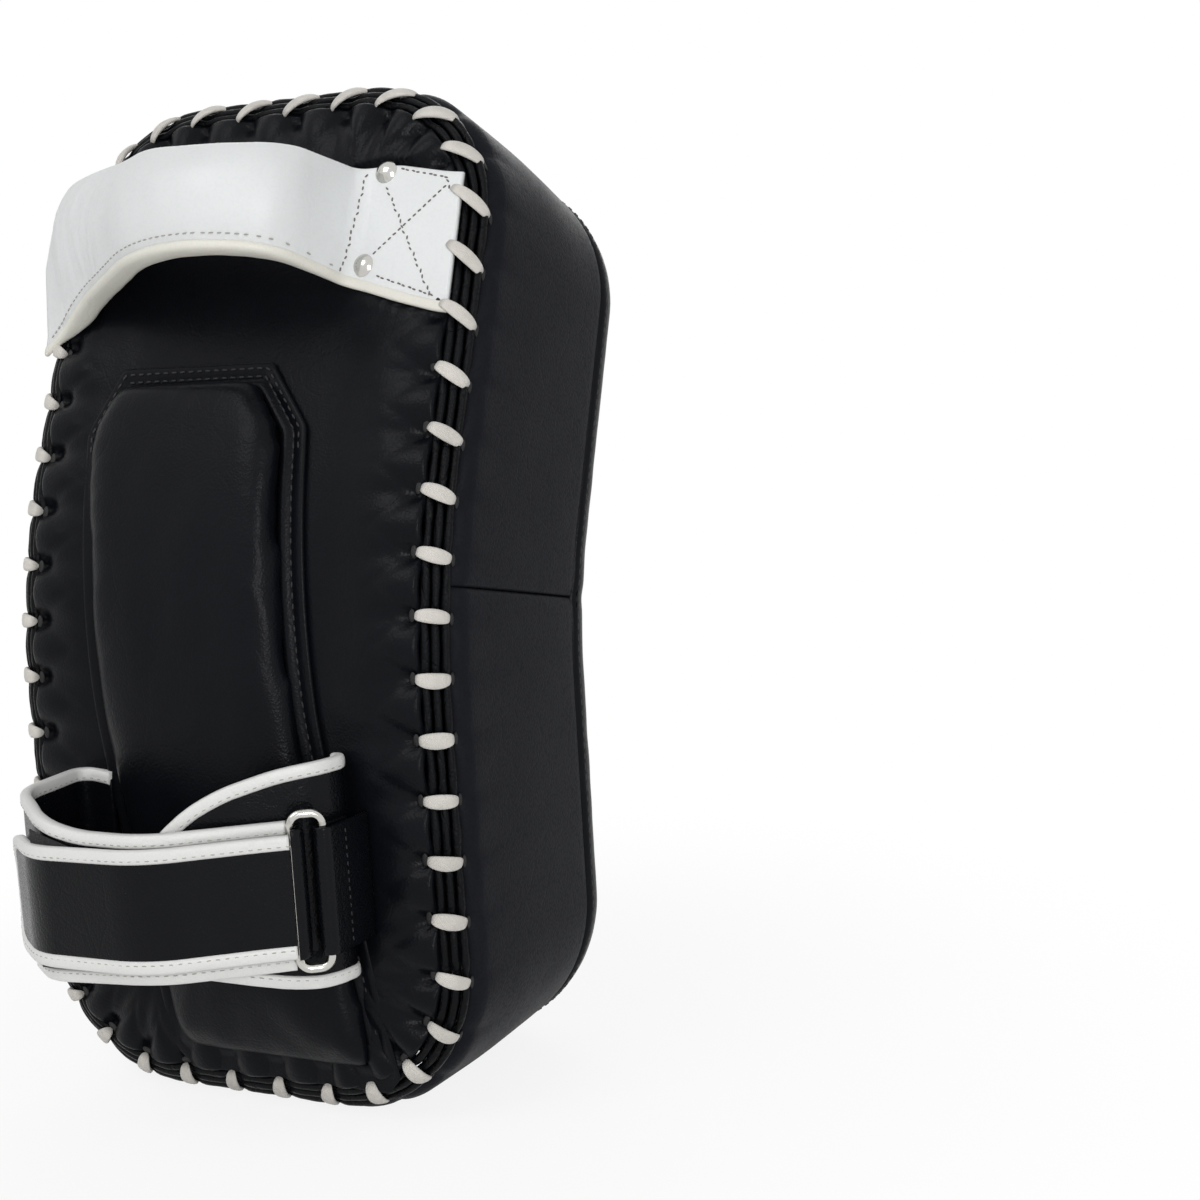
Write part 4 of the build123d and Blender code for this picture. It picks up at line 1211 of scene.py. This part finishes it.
def build_forearm_cushion():
    """Raised forearm cushion: closed soft block, blown up as cloth so that its sides pull in."""
    edge, under, top = FOREARM_FLANGE, 0.0006, 0.0134
    rows = [(FOREARM_HALF, under), (FOREARM_MERGE, under), (0.024, under), (edge + 0.003, under)]
    rows += [
        (edge + across, height) for across, height in (
            (0.0006, 0.0008), (0.0001, 0.0020), (0.0003, 0.0045), (0.0010, 0.0072),
            (0.0024, 0.0096), (0.0046, 0.0112), (0.0078, 0.0122), (0.0125, 0.0128))
    ]
    rows += [(0.030, 0.0132), (FOREARM_MERGE, top), (0.047, top), (FOREARM_HALF, top)]
    piece = ringed_sheet("forearm_cushion", rows, 300, 4)

    def held(spot):
        under_strap = spot.z < 0.155 and spot.y < 0.0635
        return under_strap or spot.y - side_profile(DEPTH, spot.z)[0] < 0.0035

    inflate(piece, 0.0042, 2.2, 0.0026, 12, held)
    shape = bmesh.new()
    shape.from_mesh(piece.data)
    for _ in range(3):
        bmesh.ops.smooth_vert(
            shape, verts=shape.verts, factor=0.5, use_axis_x=True, use_axis_y=True, use_axis_z=True)
    for vert in shape.verts:
        spot = vert.co.copy()
        run = spot.z
        if run >= STRAIGHT:
            run = STRAIGHT + (spot.z - STRAIGHT) / math.cos(pad_turn(spot.z) * 0.5)
        out = pad_out(run)
        if (spot - pad_point(spot.x, run, DEPTH)).dot(out) > 0.006:
            drift = Vector((spot.x * 1.4, spot.z * 0.5 + spot.x * 0.8, 0))
            vert.co = spot + out * 0.0005 * ripple(drift, 0.018, 4.0)
    for face in shape.faces:
        face.smooth = True
    shape.to_mesh(piece.data)
    shape.free()
    soften = piece.modifiers.new("Smooth", "SUBSURF")
    soften.levels = soften.render_levels = 1
    return piece


def build_forearm_border():
    """Flat sewn-down border of the forearm pad, with a raised raw edge and a stitched groove."""
    rows = [
        (0.0010, 0.0003), (0.0002, 0.0006), (0.0, 0.0013), (0.0002, 0.0020), (0.0008, 0.0024),
        (0.0016, 0.0025), (0.0030, 0.0023), (0.0044, 0.0019), (0.0054, 0.0014), (0.0060, 0.0012),
        (0.0067, 0.0015), (0.0076, 0.0022), (0.0090, 0.0030), (0.0112, 0.0030), (0.0112, 0.0012),
    ]
    return face_out(ringed_sheet("forearm_border", rows, 420, 1), pad_point(0, 0.16, DEPTH - 0.03))


def forearm_stitches():
    """Rows of black stitches: one in the border's groove, and a second one across the top."""
    spots = []
    for inset, height, above in ((0.0060, 0.0014, 0.026), (0.0030, 0.0024, 0.262)):
        ring = forearm_ring(inset, 600, 1)
        points = [forearm_point(p, height) for p in ring]
        points.append(points[0])
        steps = [ahead - here for here, ahead in zip(points, points[1:])]
        for index, part in walk([step.length for step in steps], 0.0042):
            middle = points[index].lerp(points[index + 1], part)
            if middle.z > above:
                spots.append((middle, steps[index], pad_out(ring[index].y)))
    return thread_row("forearm_stitching", spots, (0.0030, 0.00042), seed=11)


# ---------------------------------------------------------------- hand grip
grip_low = between([
    (-0.104, 0.288), (-0.088, 0.296), (-0.070, 0.303), (0.0, 0.307),
    (0.048, 0.309), (0.072, 0.301), (0.094, 0.295),
])
grip_high = between([
    (-0.104, 0.322), (-0.096, 0.339), (-0.082, 0.351), (-0.060, 0.356), (-0.03, 0.354),
    (0.0, 0.350), (0.030, 0.352), (0.056, 0.360), (0.094, 0.352),
], 0.005)
UPPER_START = Vector((0.0, *side_profile(DEPTH, LENGTH))) - pad_up(LENGTH) * LENGTH


def grip_to_frame(spot, run):
    """From the grip's side line (right as seen from behind, off the panel) and run up the pad."""
    return UPPER_START + Vector((-spot.x, 0, 0)) + pad_up(LENGTH) * run + pad_out(LENGTH) * spot.y


def grip_rise(x):
    """0 on the tabs and 1 where the grip stands off the panel."""
    return soft_step(min((0.0455 - x) / 0.013, (x + 0.1000) / 0.024))


def leg_stand(x, c):
    """Extra stand-off of the left leg, growing from its lower to its upper edge."""
    return 0.013 * hump(x + 0.080, 0.027) * max(0.0, (c + 0.7) / 1.7)


def grip_softness(rise):
    """Roundness of the grip's section across and off the panel."""
    return 0.25 + 0.45 * rise, 0.25 + 0.55 * rise


def grip_outer(rise, c, crown):
    """Thickness of the grip from its line to its outer face."""
    return GRIP_LEATHER + rise * crown * (1 - c * c)


def grip_band():
    """Outer line of the grip from its right tab end to its left tab end."""
    return Band(GRIP_LINE, GRIP_BENDS, grip_to_frame)


def build_grip_leather(crown):
    """Padded grip: crowned white leather over foam with a flat lining, flat at both tabs."""
    band = grip_band()

    def place(u, v):
        way = band.length * u
        x = band.middle(way)[0].x
        rise = grip_rise(x)
        low, high = grip_low(x) + GRIP_PIPING * 0.75, grip_high(x)
        c, s = superellipse(2 * math.pi * v, *grip_softness(rise))
        across = (low + high) / 2 + (high - low) / 2 * c
        inner = rise * (GRIP_THICK - GRIP_LEATHER)
        height = -grip_outer(rise, c, crown) * max(s, 0.0) + inner * max(-s, 0.0) - leg_stand(x, c)
        if s > 0:
            fine = ripple(Vector((way, across * 0.45, 0)), 0.010, 6.0)
            bend = ripple(Vector((way * 1.6 + across * 0.5, across * 0.35, 0)), 0.006, 8.0)
            broad = ripple(Vector((way, across, 0)), 0.03, 9.0)
            height -= s * (0.0004 * fine * rise + 0.0007 * hump(x + 0.062, 0.020) * bend
                           + 0.0008 * broad * rise)
        return band.at(way, across, height)

    return shaped_grid("grip_leather", 230, 48, place, wrap_rows=True, fill_ends=True)


def build_grip_piping():
    """Rolled piping sewn along the lower edge of the grip."""
    band = grip_band()

    def place(u, v):
        way = band.length * u
        x = band.middle(way)[0].x
        c, s = superellipse(2 * math.pi * v, 0.8, 0.75)
        thick = GRIP_LEATHER * 1.15 + grip_rise(x) * (GRIP_THICK - GRIP_LEATHER) * 0.98
        plump = 1 + 0.05 * ripple(Vector((way, 0, 0)), 0.010, 3.0)
        across = grip_low(x) + GRIP_PIPING * 0.55 + c * GRIP_PIPING * 0.58 * plump
        return band.at(way, across, -GRIP_LEATHER * 1.1 + thick / 2 - s * thick / 2 * plump)

    return shaped_grid("grip_edge_piping", 230, 16, place, wrap_rows=True, fill_ends=True)


def grip_stitches(crown):
    """Dashed seams of the grip: cross and frame on the right tab, and the line over the piping."""
    band = grip_band()
    low, high = grip_low, grip_high

    def on_grip(x, run, lift=0.0):
        rise = grip_rise(x)
        bottom, top = low(x), high(x)
        c = min(max((run - (bottom + top) / 2) / ((top - bottom) / 2), -0.98), 0.98)
        soft_w, soft_h = grip_softness(rise)
        fall = (1 - abs(c) ** (2 / soft_w)) ** (soft_h / 2)
        return band.at(band.way_of(x), run, -grip_outer(rise, c, crown) * fall - leg_stand(x, c) - lift)

    def sew(points, pitch):
        runs = list(zip(points, points[1:]))
        lengths = [math.hypot(x2 - x, run2 - run) for (x, run), (x2, run2) in runs]
        spots = []
        for index, part in walk(lengths, pitch, pitch / 2):
            (x, run), (x2, run2) = runs[index]
            step = 0.0012 / lengths[index]
            px, pr = x + (x2 - x) * part, run + (run2 - run) * part
            here = on_grip(px, pr)
            ahead = on_grip(px + (x2 - x) * step, pr + (run2 - run) * step)
            spots.append((here, ahead - here, (on_grip(px, pr, 0.001) - here).normalized()))
        return spots

    end = WIDTH / 2 - PANEL_INSET - 0.004
    (upper_x, upper), (lower_x, lower) = RIVET_UPPER, RIVET_LOWER
    edge_x, foot_x = upper_x - 0.0095, lower_x - 0.0085
    lines = [
        [(edge_x, high(edge_x) - 0.002), (foot_x, low(foot_x) + 0.0052)],
        [(upper_x + 0.006, upper + 0.001), (end, high(end) - 0.003)],
        [(upper_x + 0.001, upper - 0.006), (end - 0.002, low(end) + 0.006)],
        [(lower_x + 0.004, lower + 0.004), (end, high(end) - 0.006)],
        [(end, high(end) - 0.003), (end + 0.001, high(end) - 0.008)],
        [(lower_x + 0.006, low(lower_x) + 0.0055), (end, low(end) + 0.0055)],
    ]
    spots = [spot for line in lines for spot in sew(line, 0.0027)]
    tab = thread_row("grip_cross_stitching", spots, (0.0019, 0.00034), seed=21)
    count = 90
    left = GRIP_LINE[-1][0] + 0.004
    places = [foot_x + (left - foot_x) * k / count for k in range(count + 1)]
    spots = sew([(x, low(x) + 0.0056) for x in places], 0.0030)
    return tab, thread_row("grip_edge_stitching", spots, (0.0022, 0.00032), seed=22)


# ---------------------------------------------------------------- arm strap
base_edges = (
    between([(-0.105, 0.066), (-0.051, 0.068), (0.0, 0.072), (0.105, 0.073)]),
    between([(-0.105, 0.141), (-0.056, 0.137), (-0.026, 0.129), (0.105, 0.130)]),
)
flap_edges = (
    between([(-0.105, 0.076), (-0.045, 0.076), (0.050, 0.079), (0.105, 0.079)]),
    between([(-0.105, 0.123), (-0.045, 0.123), (0.050, 0.126), (0.105, 0.126)]),
)
tongue_edges = (
    between([(-0.105, 0.073), (0.008, 0.073), (0.050, 0.062), (0.105, 0.067)]),
    between([
        (-0.105, 0.119), (0.000, 0.119), (0.010, 0.131), (0.022, 0.1405),
        (0.036, 0.1455), (0.050, 0.1495), (0.105, 0.1515),
    ]),
)


def edges_on(band, edges):
    """The same edges read by way along a band."""
    def at_way(edge):
        return lambda way: edge(band.middle(way)[0].x)
    return [at_way(edge) for edge in edges]


def sewn_strap(name, band, edges, routes, start, thickness, grid, seeds, sizes):
    """Leather of a strap, its folded bindings along some routes, and their stitching."""
    low, high = edges
    sheet_seed, binding_seed, thread_seed = seeds
    shape = bmesh.new()
    strap_sheet(
        shape, band, start, lambda way: low(way) + SHEET_INSET, lambda way: high(way) - SHEET_INSET,
        thickness, grid, seed=sheet_seed)
    leather = finish_shape(name + "_leather", shape, fill_ends=True)
    shape = bmesh.new()
    spots = []
    face = thickness / 2 + BINDING_LIP
    for route in routes:
        edge_binding(
            shape, band, route, sizes.binding_width + 0.0004, 2 * face + 0.0006, binding_seed)
        for side in (1.0, -1.0):
            spots += stitches_on(
                band, route, sizes.binding_width - 0.0012, side * face, sizes.strap_pitch, side)
    binding = finish_shape(name + "_edging", shape, fill_ends=True)
    return leather, binding, thread_row(name + "_stitching", spots, STRAP_THREAD, thread_seed)


def build_strap_base(sizes):
    """Base of the strap with its two folded bindings and their stitching."""
    band = Band(STRAP_LINE, STRAP_BENDS, strap_to_frame)
    edges = edges_on(band, base_edges)
    routes = both_routes(band, edges)
    return sewn_strap(
        "strap_base", band, edges, routes, 0.0, STRAP_THICK, (150, 32), (1.0, 2.0, 31), sizes)


def build_tongue(sizes):
    """Short half of the strap, from the seam up and under the base, with bindings."""
    side = FOREARM_HALF + FIT
    seat = FIT + KEEPER_THICK + FIT + BINDING_LIP + TONGUE_THICK / 2
    points = [
        (side + FIT, seat), (side + 0.007, seat), (side + 0.003, 0.0198),
        (0.034, 0.036), (0.008, 0.0516),
    ]
    band = Band(points, [0.005, 0.018, 0.030], strap_to_frame)
    edges = edges_on(band, tongue_edges)
    routes = both_routes(band, edges)
    return sewn_strap(
        "tongue", band, edges, routes, 0.0, TONGUE_THICK, (110, 30), (8.0, 9.0, 33), sizes)


def flap_outline(band):
    """Edges of the flap by way along it from the tip, whose corners are rounded."""
    low, high = edges_on(band, flap_edges)

    def cut(way):
        reach = TIP_RADIUS - max(way - TIP_START, 0.0)
        if reach <= 0:
            return 0.0
        return TIP_RADIUS - math.sqrt(max(TIP_RADIUS ** 2 - reach ** 2, 0.0))
    return (lambda way: low(way) + cut(way)), (lambda way: high(way) - cut(way))


def flap_band():
    """Centre line of the flap from its tip to the fold, and the free bar's place and directions."""
    path = shifted(STRAP_LINE, FLAP_OFFSET)
    tip = path[2] + (path[1] - path[2]).normalized() * TIP_DROP
    end = Vector(STRAP_LINE[-1])
    run = (end - Vector(STRAP_LINE[-2])).normalized()
    out = left_of(run)
    fold = RING_WIRE + FIT + BINDING_LIP + FLAP_THICK / 2
    free_bar = end + run * 0.0012 + out * fold
    root = free_bar + out * fold - run * 0.0006
    radii = shifted_radii(STRAP_LINE, STRAP_BENDS, FLAP_OFFSET)[1:]
    return Band([tip, *path[2:5], root], radii, strap_to_frame), free_bar, run, out, fold


def build_flap(sizes):
    """Hook-and-loop flap with a rounded tip, its binding all round and the stitching."""
    band = flap_band()[0]
    low, high = flap_outline(band)
    begin = TIP_START + TIP_RADIUS
    middle_low, middle_high = low(begin) + TIP_RADIUS, high(begin) - TIP_RADIUS

    def corner(middle, first):
        """Route round one corner of the tip."""
        for k in range(1, 18):
            angle = first + k / 18 * math.pi / 2
            s, c = math.sin(angle), math.cos(angle)
            yield begin - TIP_RADIUS * s, middle - TIP_RADIUS * c, s, c

    route = route_on(low, band.length, begin, 1.0) + list(corner(middle_low, 0.0))
    route += [
        (TIP_START, middle_low + (middle_high - middle_low) * k / 6, 1.0, 0.0) for k in range(7)
    ]
    route += [*corner(middle_high, math.pi / 2), *route_on(high, begin, band.length, -1.0)]
    return sewn_strap(
        "flap", band, (low, high), [route], TIP_START + SHEET_INSET, FLAP_THICK, (140, 32),
        (5.0, 7.0, 32), sizes)


def build_fold():
    """Leather fold of the strap round the free bar of the ring."""
    _, free_bar, run, out, fold = flap_band()
    half = RING_LENGTH / 2 - RING_CORNER - FIT

    def place(u, v):
        angle = (u - 0.5) * math.pi
        c, s = superellipse(2 * math.pi * v, 0.25, 0.4)
        radius = fold + s * FLAP_THICK / 2 * (1 + 0.1 * math.cos(angle))
        spot = free_bar + run * (radius * math.cos(angle)) + out * (radius * math.sin(angle))
        return strap_to_frame(spot, RING_MIDDLE + c * half)

    return shaped_grid("fold_leather", 28, 36, place, wrap_rows=True, fill_ends=True)


def build_keeper():
    """Leather keeper looped round the kept bar of the ring, sewn beside it."""
    _, free_bar, run, _, _ = flap_band()
    kept = free_bar + run * RING_PITCH
    reach = RING_WIRE + FIT + KEEPER_THICK / 2
    seat = FIT + KEEPER_THICK / 2
    points = [
        (FOREARM_HALF + 2 * FIT, seat),
        (kept.x + reach * 1.6, seat),
        (kept.x + reach, kept.y + reach),
        (kept.x - reach * 1.2, kept.y + reach),
        (kept.x, kept.y * 0.42),
    ]
    band = Band(points, [0.004, reach * 0.9, reach * 0.9], strap_to_frame)
    half = RING_LENGTH / 2 - RING_CORNER - 2 * FIT
    low, high = RING_MIDDLE - half, RING_MIDDLE + half
    shape = bmesh.new()
    strap_sheet(
        shape, band, 0.0, lambda way: low, lambda way: high, KEEPER_THICK, (90, 28),
        soft=0.25, wave=0.00012)
    leather = finish_shape("keeper_leather", shape, fill_ends=True)
    seam = band.length * 0.46
    route = [(seam, low + 0.002 + (high - low - 0.004) * k / 30, 1.0, 0.0) for k in range(31)]
    spots = stitches_on(band, route, 0.0, -KEEPER_THICK / 2, 0.0032, -1.0)
    return leather, thread_row("keeper_stitching", spots, (0.0021, 0.0003), seed=34)


# ---------------------------------------------------------------- settings
def colour_setting(name, description, default):
    """Colour that a user may change."""
    return bpy.props.FloatVectorProperty(
        name=name, description=description, default=default, subtype="COLOR", min=0, max=1)


def length_setting(name, description, default, least=0.0):
    """Length in metres that a user may change, no smaller than a least one."""
    return bpy.props.FloatProperty(
        name=name, description=description, default=default, min=least, max=0.05, precision=4,
        subtype="DISTANCE", unit="LENGTH")


def power_setting(name, description, default):
    """Power of a light that a user may change."""
    return bpy.props.FloatProperty(
        name=name, description=description, default=default, min=0, unit="POWER")


class PadLook(bpy.types.PropertyGroup):
    """Colours of the leather, lace and print."""

    body_colour: colour_setting(
        "Body leather", "Back and strike leather", (0.0036, 0.0041, 0.0056))
    # Set lighter than the body leather: painted light on the side walls.
    side_colour: colour_setting(
        "Side leather", "Leather of the side wall", (0.0094, 0.0100, 0.0128))
    grip_colour: colour_setting(
        "Grip leather", "White leather of the hand grip", (0.74, 0.755, 0.76))
    binding_colour: colour_setting(
        "Strap binding", "Folded white edges of the strap", (0.76, 0.76, 0.745))
    piping_colour: colour_setting(
        "Grip piping", "Cream edge of the grip", (0.76, 0.745, 0.67))
    lace_colour: colour_setting(
        "Lace", "Whip lace round the back", (0.66, 0.63, 0.585))
    target_colour: colour_setting(
        "Target", "Printed target on the strike face", (0.50, 0.535, 0.585))


class PadSizes(bpy.types.PropertyGroup):
    """Sizes of the sewing and the padding."""

    lace_width: length_setting("Lace width", "Width of the whip lace", 0.0061, 0.001)
    lace_thickness: length_setting(
        "Lace thickness", "Thickness of the whip lace", 0.0023, 0.001)
    panel_puff: length_setting("Panel puffs", "Rise of the back between two stitches", 0.0023)
    gusset_swell: length_setting("Side swelling", "Swelling of the side wall", 0.0013)
    binding_width: length_setting(
        "Binding width", "Width of the strap's folded edges", 0.005, 0.002)
    strap_pitch: length_setting(
        "Strap stitches", "Distance between the strap's stitches", 0.0034, 0.001)
    seam_pitch: length_setting(
        "Seam stitches", "Distance between the body's stitches", 0.0046, 0.001)
    grip_crown: length_setting("Grip crown", "Extra thickness of the grip's middle", 0.0055)


class PadStudio(bpy.types.PropertyGroup):
    """Camera and light of the studio."""

    lens: bpy.props.FloatProperty(
        name="Lens", description="Focal length on a 36 mm sensor", default=57.1355, min=10,
        max=200, subtype="DISTANCE_CAMERA")
    key_power: power_setting("Key light", "Power of the large soft light", 11.0)
    fill_power: power_setting("Fill light", "Power of the high soft light", 9.0)
    strike_power: power_setting("Strike light", "Light on the strike face", 9.0)
    sky: bpy.props.FloatProperty(
        name="Room light", description="Strength of the even light from the room", default=0.45,
        min=0)


# ---------------------------------------------------------------- operators
class THAIPAD_OT_materials(bpy.types.Operator):
    """Make the shared shader groups and every finish"""

    bl_idname = "thaipad.materials"
    bl_label = "Finishes"

    def execute(self, context):
        GROUPS["grain"] = build_grain_group()
        GROUPS["wear"] = build_wear_group()
        build_finishes(context.scene.pad_look)
        return {"FINISHED"}


class THAIPAD_OT_body(bpy.types.Operator):
    """Build the leather of the padded body and its seams"""

    bl_idname = "thaipad.body"
    bl_label = "Body leather"

    def execute(self, context):
        sizes = context.scene.pad_sizes
        finish_piece(
            build_strike_leather(), "pad", "leather_black", "body",
            "strike_panel", "foam_strike_layer", fill=0.9)
        upper = build_gusset_leather("gusset_upper_leather", True, sizes.gusset_swell)
        finish_piece(upper, "pad", "leather_black", "side", "gusset_upper", fill=0.85)
        lower = build_gusset_leather("gusset_lower_leather", False, sizes.gusset_swell)
        finish_piece(lower, "pad", "leather_black", "side", "gusset_lower", "foam_core", fill=0.85)
        finish_piece(
            build_panel_leather(sizes.panel_puff), "pad", "leather_black", "body",
            "back_panel", "foam_back_layer", fill=0.8)
        finish_piece(build_body_stitching(sizes.seam_pitch), "pad", None, "thread_dark")
        return {"FINISHED"}


class THAIPAD_OT_lacing(bpy.types.Operator):
    """Build the rolled edges and the whip lacing over them"""

    bl_idname = "thaipad.lacing"
    bl_label = "Rolled edges and lacing"

    def execute(self, context):
        sizes = context.scene.pad_sizes
        for number, name in enumerate(ROLLS):
            finish_piece(build_roll(name, 1.0 + number), "pad", "leather_roll", "roll", name)
        lace = build_lace(sizes.lace_width, sizes.lace_thickness)
        finish_piece(lace, "pad", "lace_white", "lace", "edge_lace")
        # Dark blobs as painted shade in the lace holes
        finish_piece(build_lace_hole_shade(), "pad", None, "hole")
        return {"FINISHED"}


class THAIPAD_OT_forearm(bpy.types.Operator):
    """Build the raised forearm pad with its sewn border"""

    bl_idname = "thaipad.forearm"
    bl_label = "Forearm pad"

    def execute(self, context):
        finish_piece(
            build_forearm_cushion(), "pad", "leather_black", "body",
            "forearm_pad_cover", "forearm_pad_foam", fill=0.75)
        finish_piece(build_forearm_border(), "pad", "leather_black", "body")
        finish_piece(forearm_stitches(), "pad", None, "thread_dark")
        return {"FINISHED"}


class THAIPAD_OT_grip(bpy.types.Operator):
    """Build the padded hand grip with its piping and stitching"""

    bl_idname = "thaipad.grip"
    bl_label = "Hand grip"

    def execute(self, context):
        crown = context.scene.pad_sizes.grip_crown
        finish_piece(
            build_grip_leather(crown), "pad", "leather_white", "grip",
            "grip_outer", "grip_foam", "grip_lining", fill=0.8)
        finish_piece(build_grip_piping(), "pad", "piping_cream", "piping", "grip_piping")
        tab, edge = grip_stitches(crown)
        finish_piece(tab, "pad", None, "thread_grey")
        finish_piece(edge, "pad", None, "thread_light")
        return {"FINISHED"}


class THAIPAD_OT_strap(bpy.types.Operator):
    """Build the arm strap: base, tongue, keeper, fold and peeling flap"""

    bl_idname = "thaipad.strap"
    bl_label = "Arm strap"

    def execute(self, context):
        sizes = context.scene.pad_sizes

        def finish_strap(pieces, body, node_name, binding_name):
            leather, binding, sewing = pieces
            finish_piece(leather, body, "leather_black", "strap", node_name)
            finish_piece(binding, body, "binding_white", "binding", binding_name)
            finish_piece(sewing, body, None, "thread_light")

        finish_strap(build_strap_base(sizes), "pad", "strap_base", "strap_base_binding")
        finish_strap(build_tongue(sizes), "pad", "tongue", "tongue_binding")
        leather, sewing = build_keeper()
        finish_piece(leather, "pad", "leather_black", "strap", "ring_keeper")
        finish_piece(sewing, "pad", None, "thread_dark")
        finish_piece(build_fold(), "ring", "leather_black", "strap", "strap_fold")
        finish_strap(build_flap(sizes), "flap", "strap_flap", "flap_binding")
        return {"FINISHED"}


class THAIPAD_OT_hardware(bpy.types.Operator):
    """Finish the metal, printed and taped pieces that keep their CAD shape"""

    bl_idname = "thaipad.hardware"
    bl_label = "Ring, rivets, target and tapes"

    def execute(self, context):
        finishes = {
            "nickel": [
                "strap_ring", "grip_rivet_upper", "grip_rivet_lower",
                "rivet_washer_upper", "rivet_washer_lower",
            ],
            "print": ["target_ring", "target_disc"],
            "tape": ["loop_tape", "hook_tape"],
        }
        for finish, names in finishes.items():
            for part in (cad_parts[name] for name in names):
                if not part.material_slots:
                    part.data.materials.append(None)
                for slot in part.material_slots:
                    slot.link = "OBJECT"
                    slot.material = FINISH[finish]
        return {"FINISHED"}


class THAIPAD_OT_studio(bpy.types.Operator):
    """Set up the pale floor, the soft lights, the room and the camera"""

    bl_idname = "thaipad.studio"
    bl_label = "Studio"

    def execute(self, context):
        build_studio(context.scene, context.scene.pad_studio)
        return {"FINISHED"}


# ---------------------------------------------------------------- studio
def area_light(name, spot, aim, size, power):
    """Soft light of a width and height that looks at a point."""
    light = bpy.data.lights.new(name, "AREA")
    light.shape = "RECTANGLE"
    light.size, light.size_y = size
    light.energy = power
    lamp = bpy.data.objects.new(name, light)
    bpy.context.scene.collection.objects.link(lamp)
    lamp.location = spot
    lamp.rotation_euler = (Vector(aim) - Vector(spot)).to_track_quat("-Z", "Y").to_euler()


def seen_directly(tree):
    """1 for what the camera, metal or glass sees directly, 0 for the light in the room."""
    rays = node(tree, "ShaderNodeLightPath").outputs
    seen = math_node(tree, "MAXIMUM", rays["Is Camera Ray"], rays["Is Glossy Ray"])
    return math_node(tree, "MAXIMUM", seen, rays["Is Transmission Ray"])


def floor_material():
    """Pale floor that keeps a faint shadow near the pad and turns white away from it."""
    material, tree, shader, coords = shader_base("Studio floor")
    feed_shader(tree, shader, (0.93, 0.93, 0.93, 1), 0.8)
    shader.inputs["Specular IOR Level"].default_value = 0.0
    away = node(tree, "ShaderNodeVectorMath", {0: coords}, operation="LENGTH").outputs["Value"]
    fade = smooth_range(tree, away, 0.14, 0.45, 0.86, 1.0)
    white = node(tree, "ShaderNodeEmission", {"Color": (1, 1, 1, 1), "Strength": 1.0}).outputs[0]
    amount = math_node(tree, "MULTIPLY", seen_directly(tree), fade)
    mix = node(tree, "ShaderNodeMixShader", {0: amount, 1: shader.outputs[0], 2: white})
    tree.links.new(mix.outputs[0], tree.nodes["Material Output"].inputs["Surface"])
    return material


def build_room(strength):
    """Even white light; the camera sees a white room."""
    world = bpy.data.worlds.new("Studio room")
    world.use_nodes = True
    tree = world.node_tree
    tree.nodes.clear()
    room, white = (
        node(tree, "ShaderNodeBackground", {"Color": (1, 1, 1, 1), "Strength": value}).outputs[0]
        for value in (strength, 1.0)
    )
    mix = node(tree, "ShaderNodeMixShader", {0: seen_directly(tree), 1: room, 2: white})
    node(tree, "ShaderNodeOutputWorld", {0: mix.outputs[0]})
    return world


def build_studio(scene, studio):
    """Floor, lights, world and camera."""
    shape = bmesh.new()
    bmesh.ops.create_grid(shape, x_segments=4, y_segments=4, size=3.0)
    floor = add_object("studio_floor", shape, smooth=False)
    floor.location.z = -0.0012
    floor.data.materials.append(floor_material())
    scene.world = build_room(studio.sky)

    aim = (0, 0, LENGTH / 2)
    area_light("key_light", (-1.15, 1.35, 0.62), aim, (0.40, 0.80), studio.key_power)
    area_light("fill_light", (0.35, 1.25, 1.65), aim, (1.0, 1.0), studio.fill_power)
    area_light("strike_light", (0.6, -1.4, 1.0), aim, (1.2, 1.2), studio.strike_power)

    camera = bpy.data.objects.new("studio_camera", bpy.data.cameras.new("studio_camera"))
    scene.collection.objects.link(camera)
    camera.data.lens = studio.lens
    camera.data.sensor_width = 36.0
    right = Vector((-0.899990, -0.432116, -0.057384))
    up = Vector((0.008641, -0.149300, 0.988754))
    back = Vector((-0.435824, 0.889373, 0.138103))
    turn = Matrix((right, up, back)).transposed().to_4x4()
    camera.matrix_world = Matrix.Translation((-0.460723, 0.654828, 0.300858)) @ turn
    scene.camera = camera
    scene.view_settings.view_transform = "Standard"


# ---------------------------------------------------------------- panel and registration
class THAIPAD_PT_panel(bpy.types.Panel):
    """Sidebar panel with the pad's builders and settings"""

    bl_idname = "THAIPAD_PT_panel"
    bl_label = "Thai Pad"
    bl_space_type = "VIEW_3D"
    bl_region_type = "UI"
    bl_category = "Thai Pad"

    def draw(self, context):
        for builder in BUILDERS:
            self.layout.operator(builder.bl_idname)
        for key in SETTINGS:
            owner = getattr(context.scene, key)
            for name in owner.__annotations__:
                self.layout.prop(owner, name)


BUILDERS = (
    THAIPAD_OT_materials,
    THAIPAD_OT_body,
    THAIPAD_OT_lacing,
    THAIPAD_OT_forearm,
    THAIPAD_OT_grip,
    THAIPAD_OT_strap,
    THAIPAD_OT_hardware,
    THAIPAD_OT_studio,
)
SETTINGS = {"pad_look": PadLook, "pad_sizes": PadSizes, "pad_studio": PadStudio}
CLASSES = (*SETTINGS.values(), *BUILDERS, THAIPAD_PT_panel)


def register():
    """Adds the pad's classes and settings."""
    for item in CLASSES:
        bpy.utils.register_class(item)
    for key, kind in SETTINGS.items():
        setattr(bpy.types.Scene, key, bpy.props.PointerProperty(type=kind))


def unregister():
    """Takes them away again."""
    for key in SETTINGS:
        delattr(bpy.types.Scene, key)
    for item in reversed(CLASSES):
        bpy.utils.unregister_class(item)


def main():
    register()
    bpy.ops.thaipad.materials()
    bpy.ops.thaipad.body()
    bpy.ops.thaipad.lacing()
    bpy.ops.thaipad.forearm()
    bpy.ops.thaipad.grip()
    bpy.ops.thaipad.strap()
    bpy.ops.thaipad.hardware()
    bpy.ops.thaipad.studio()


if __name__ == "__main__":
    main()
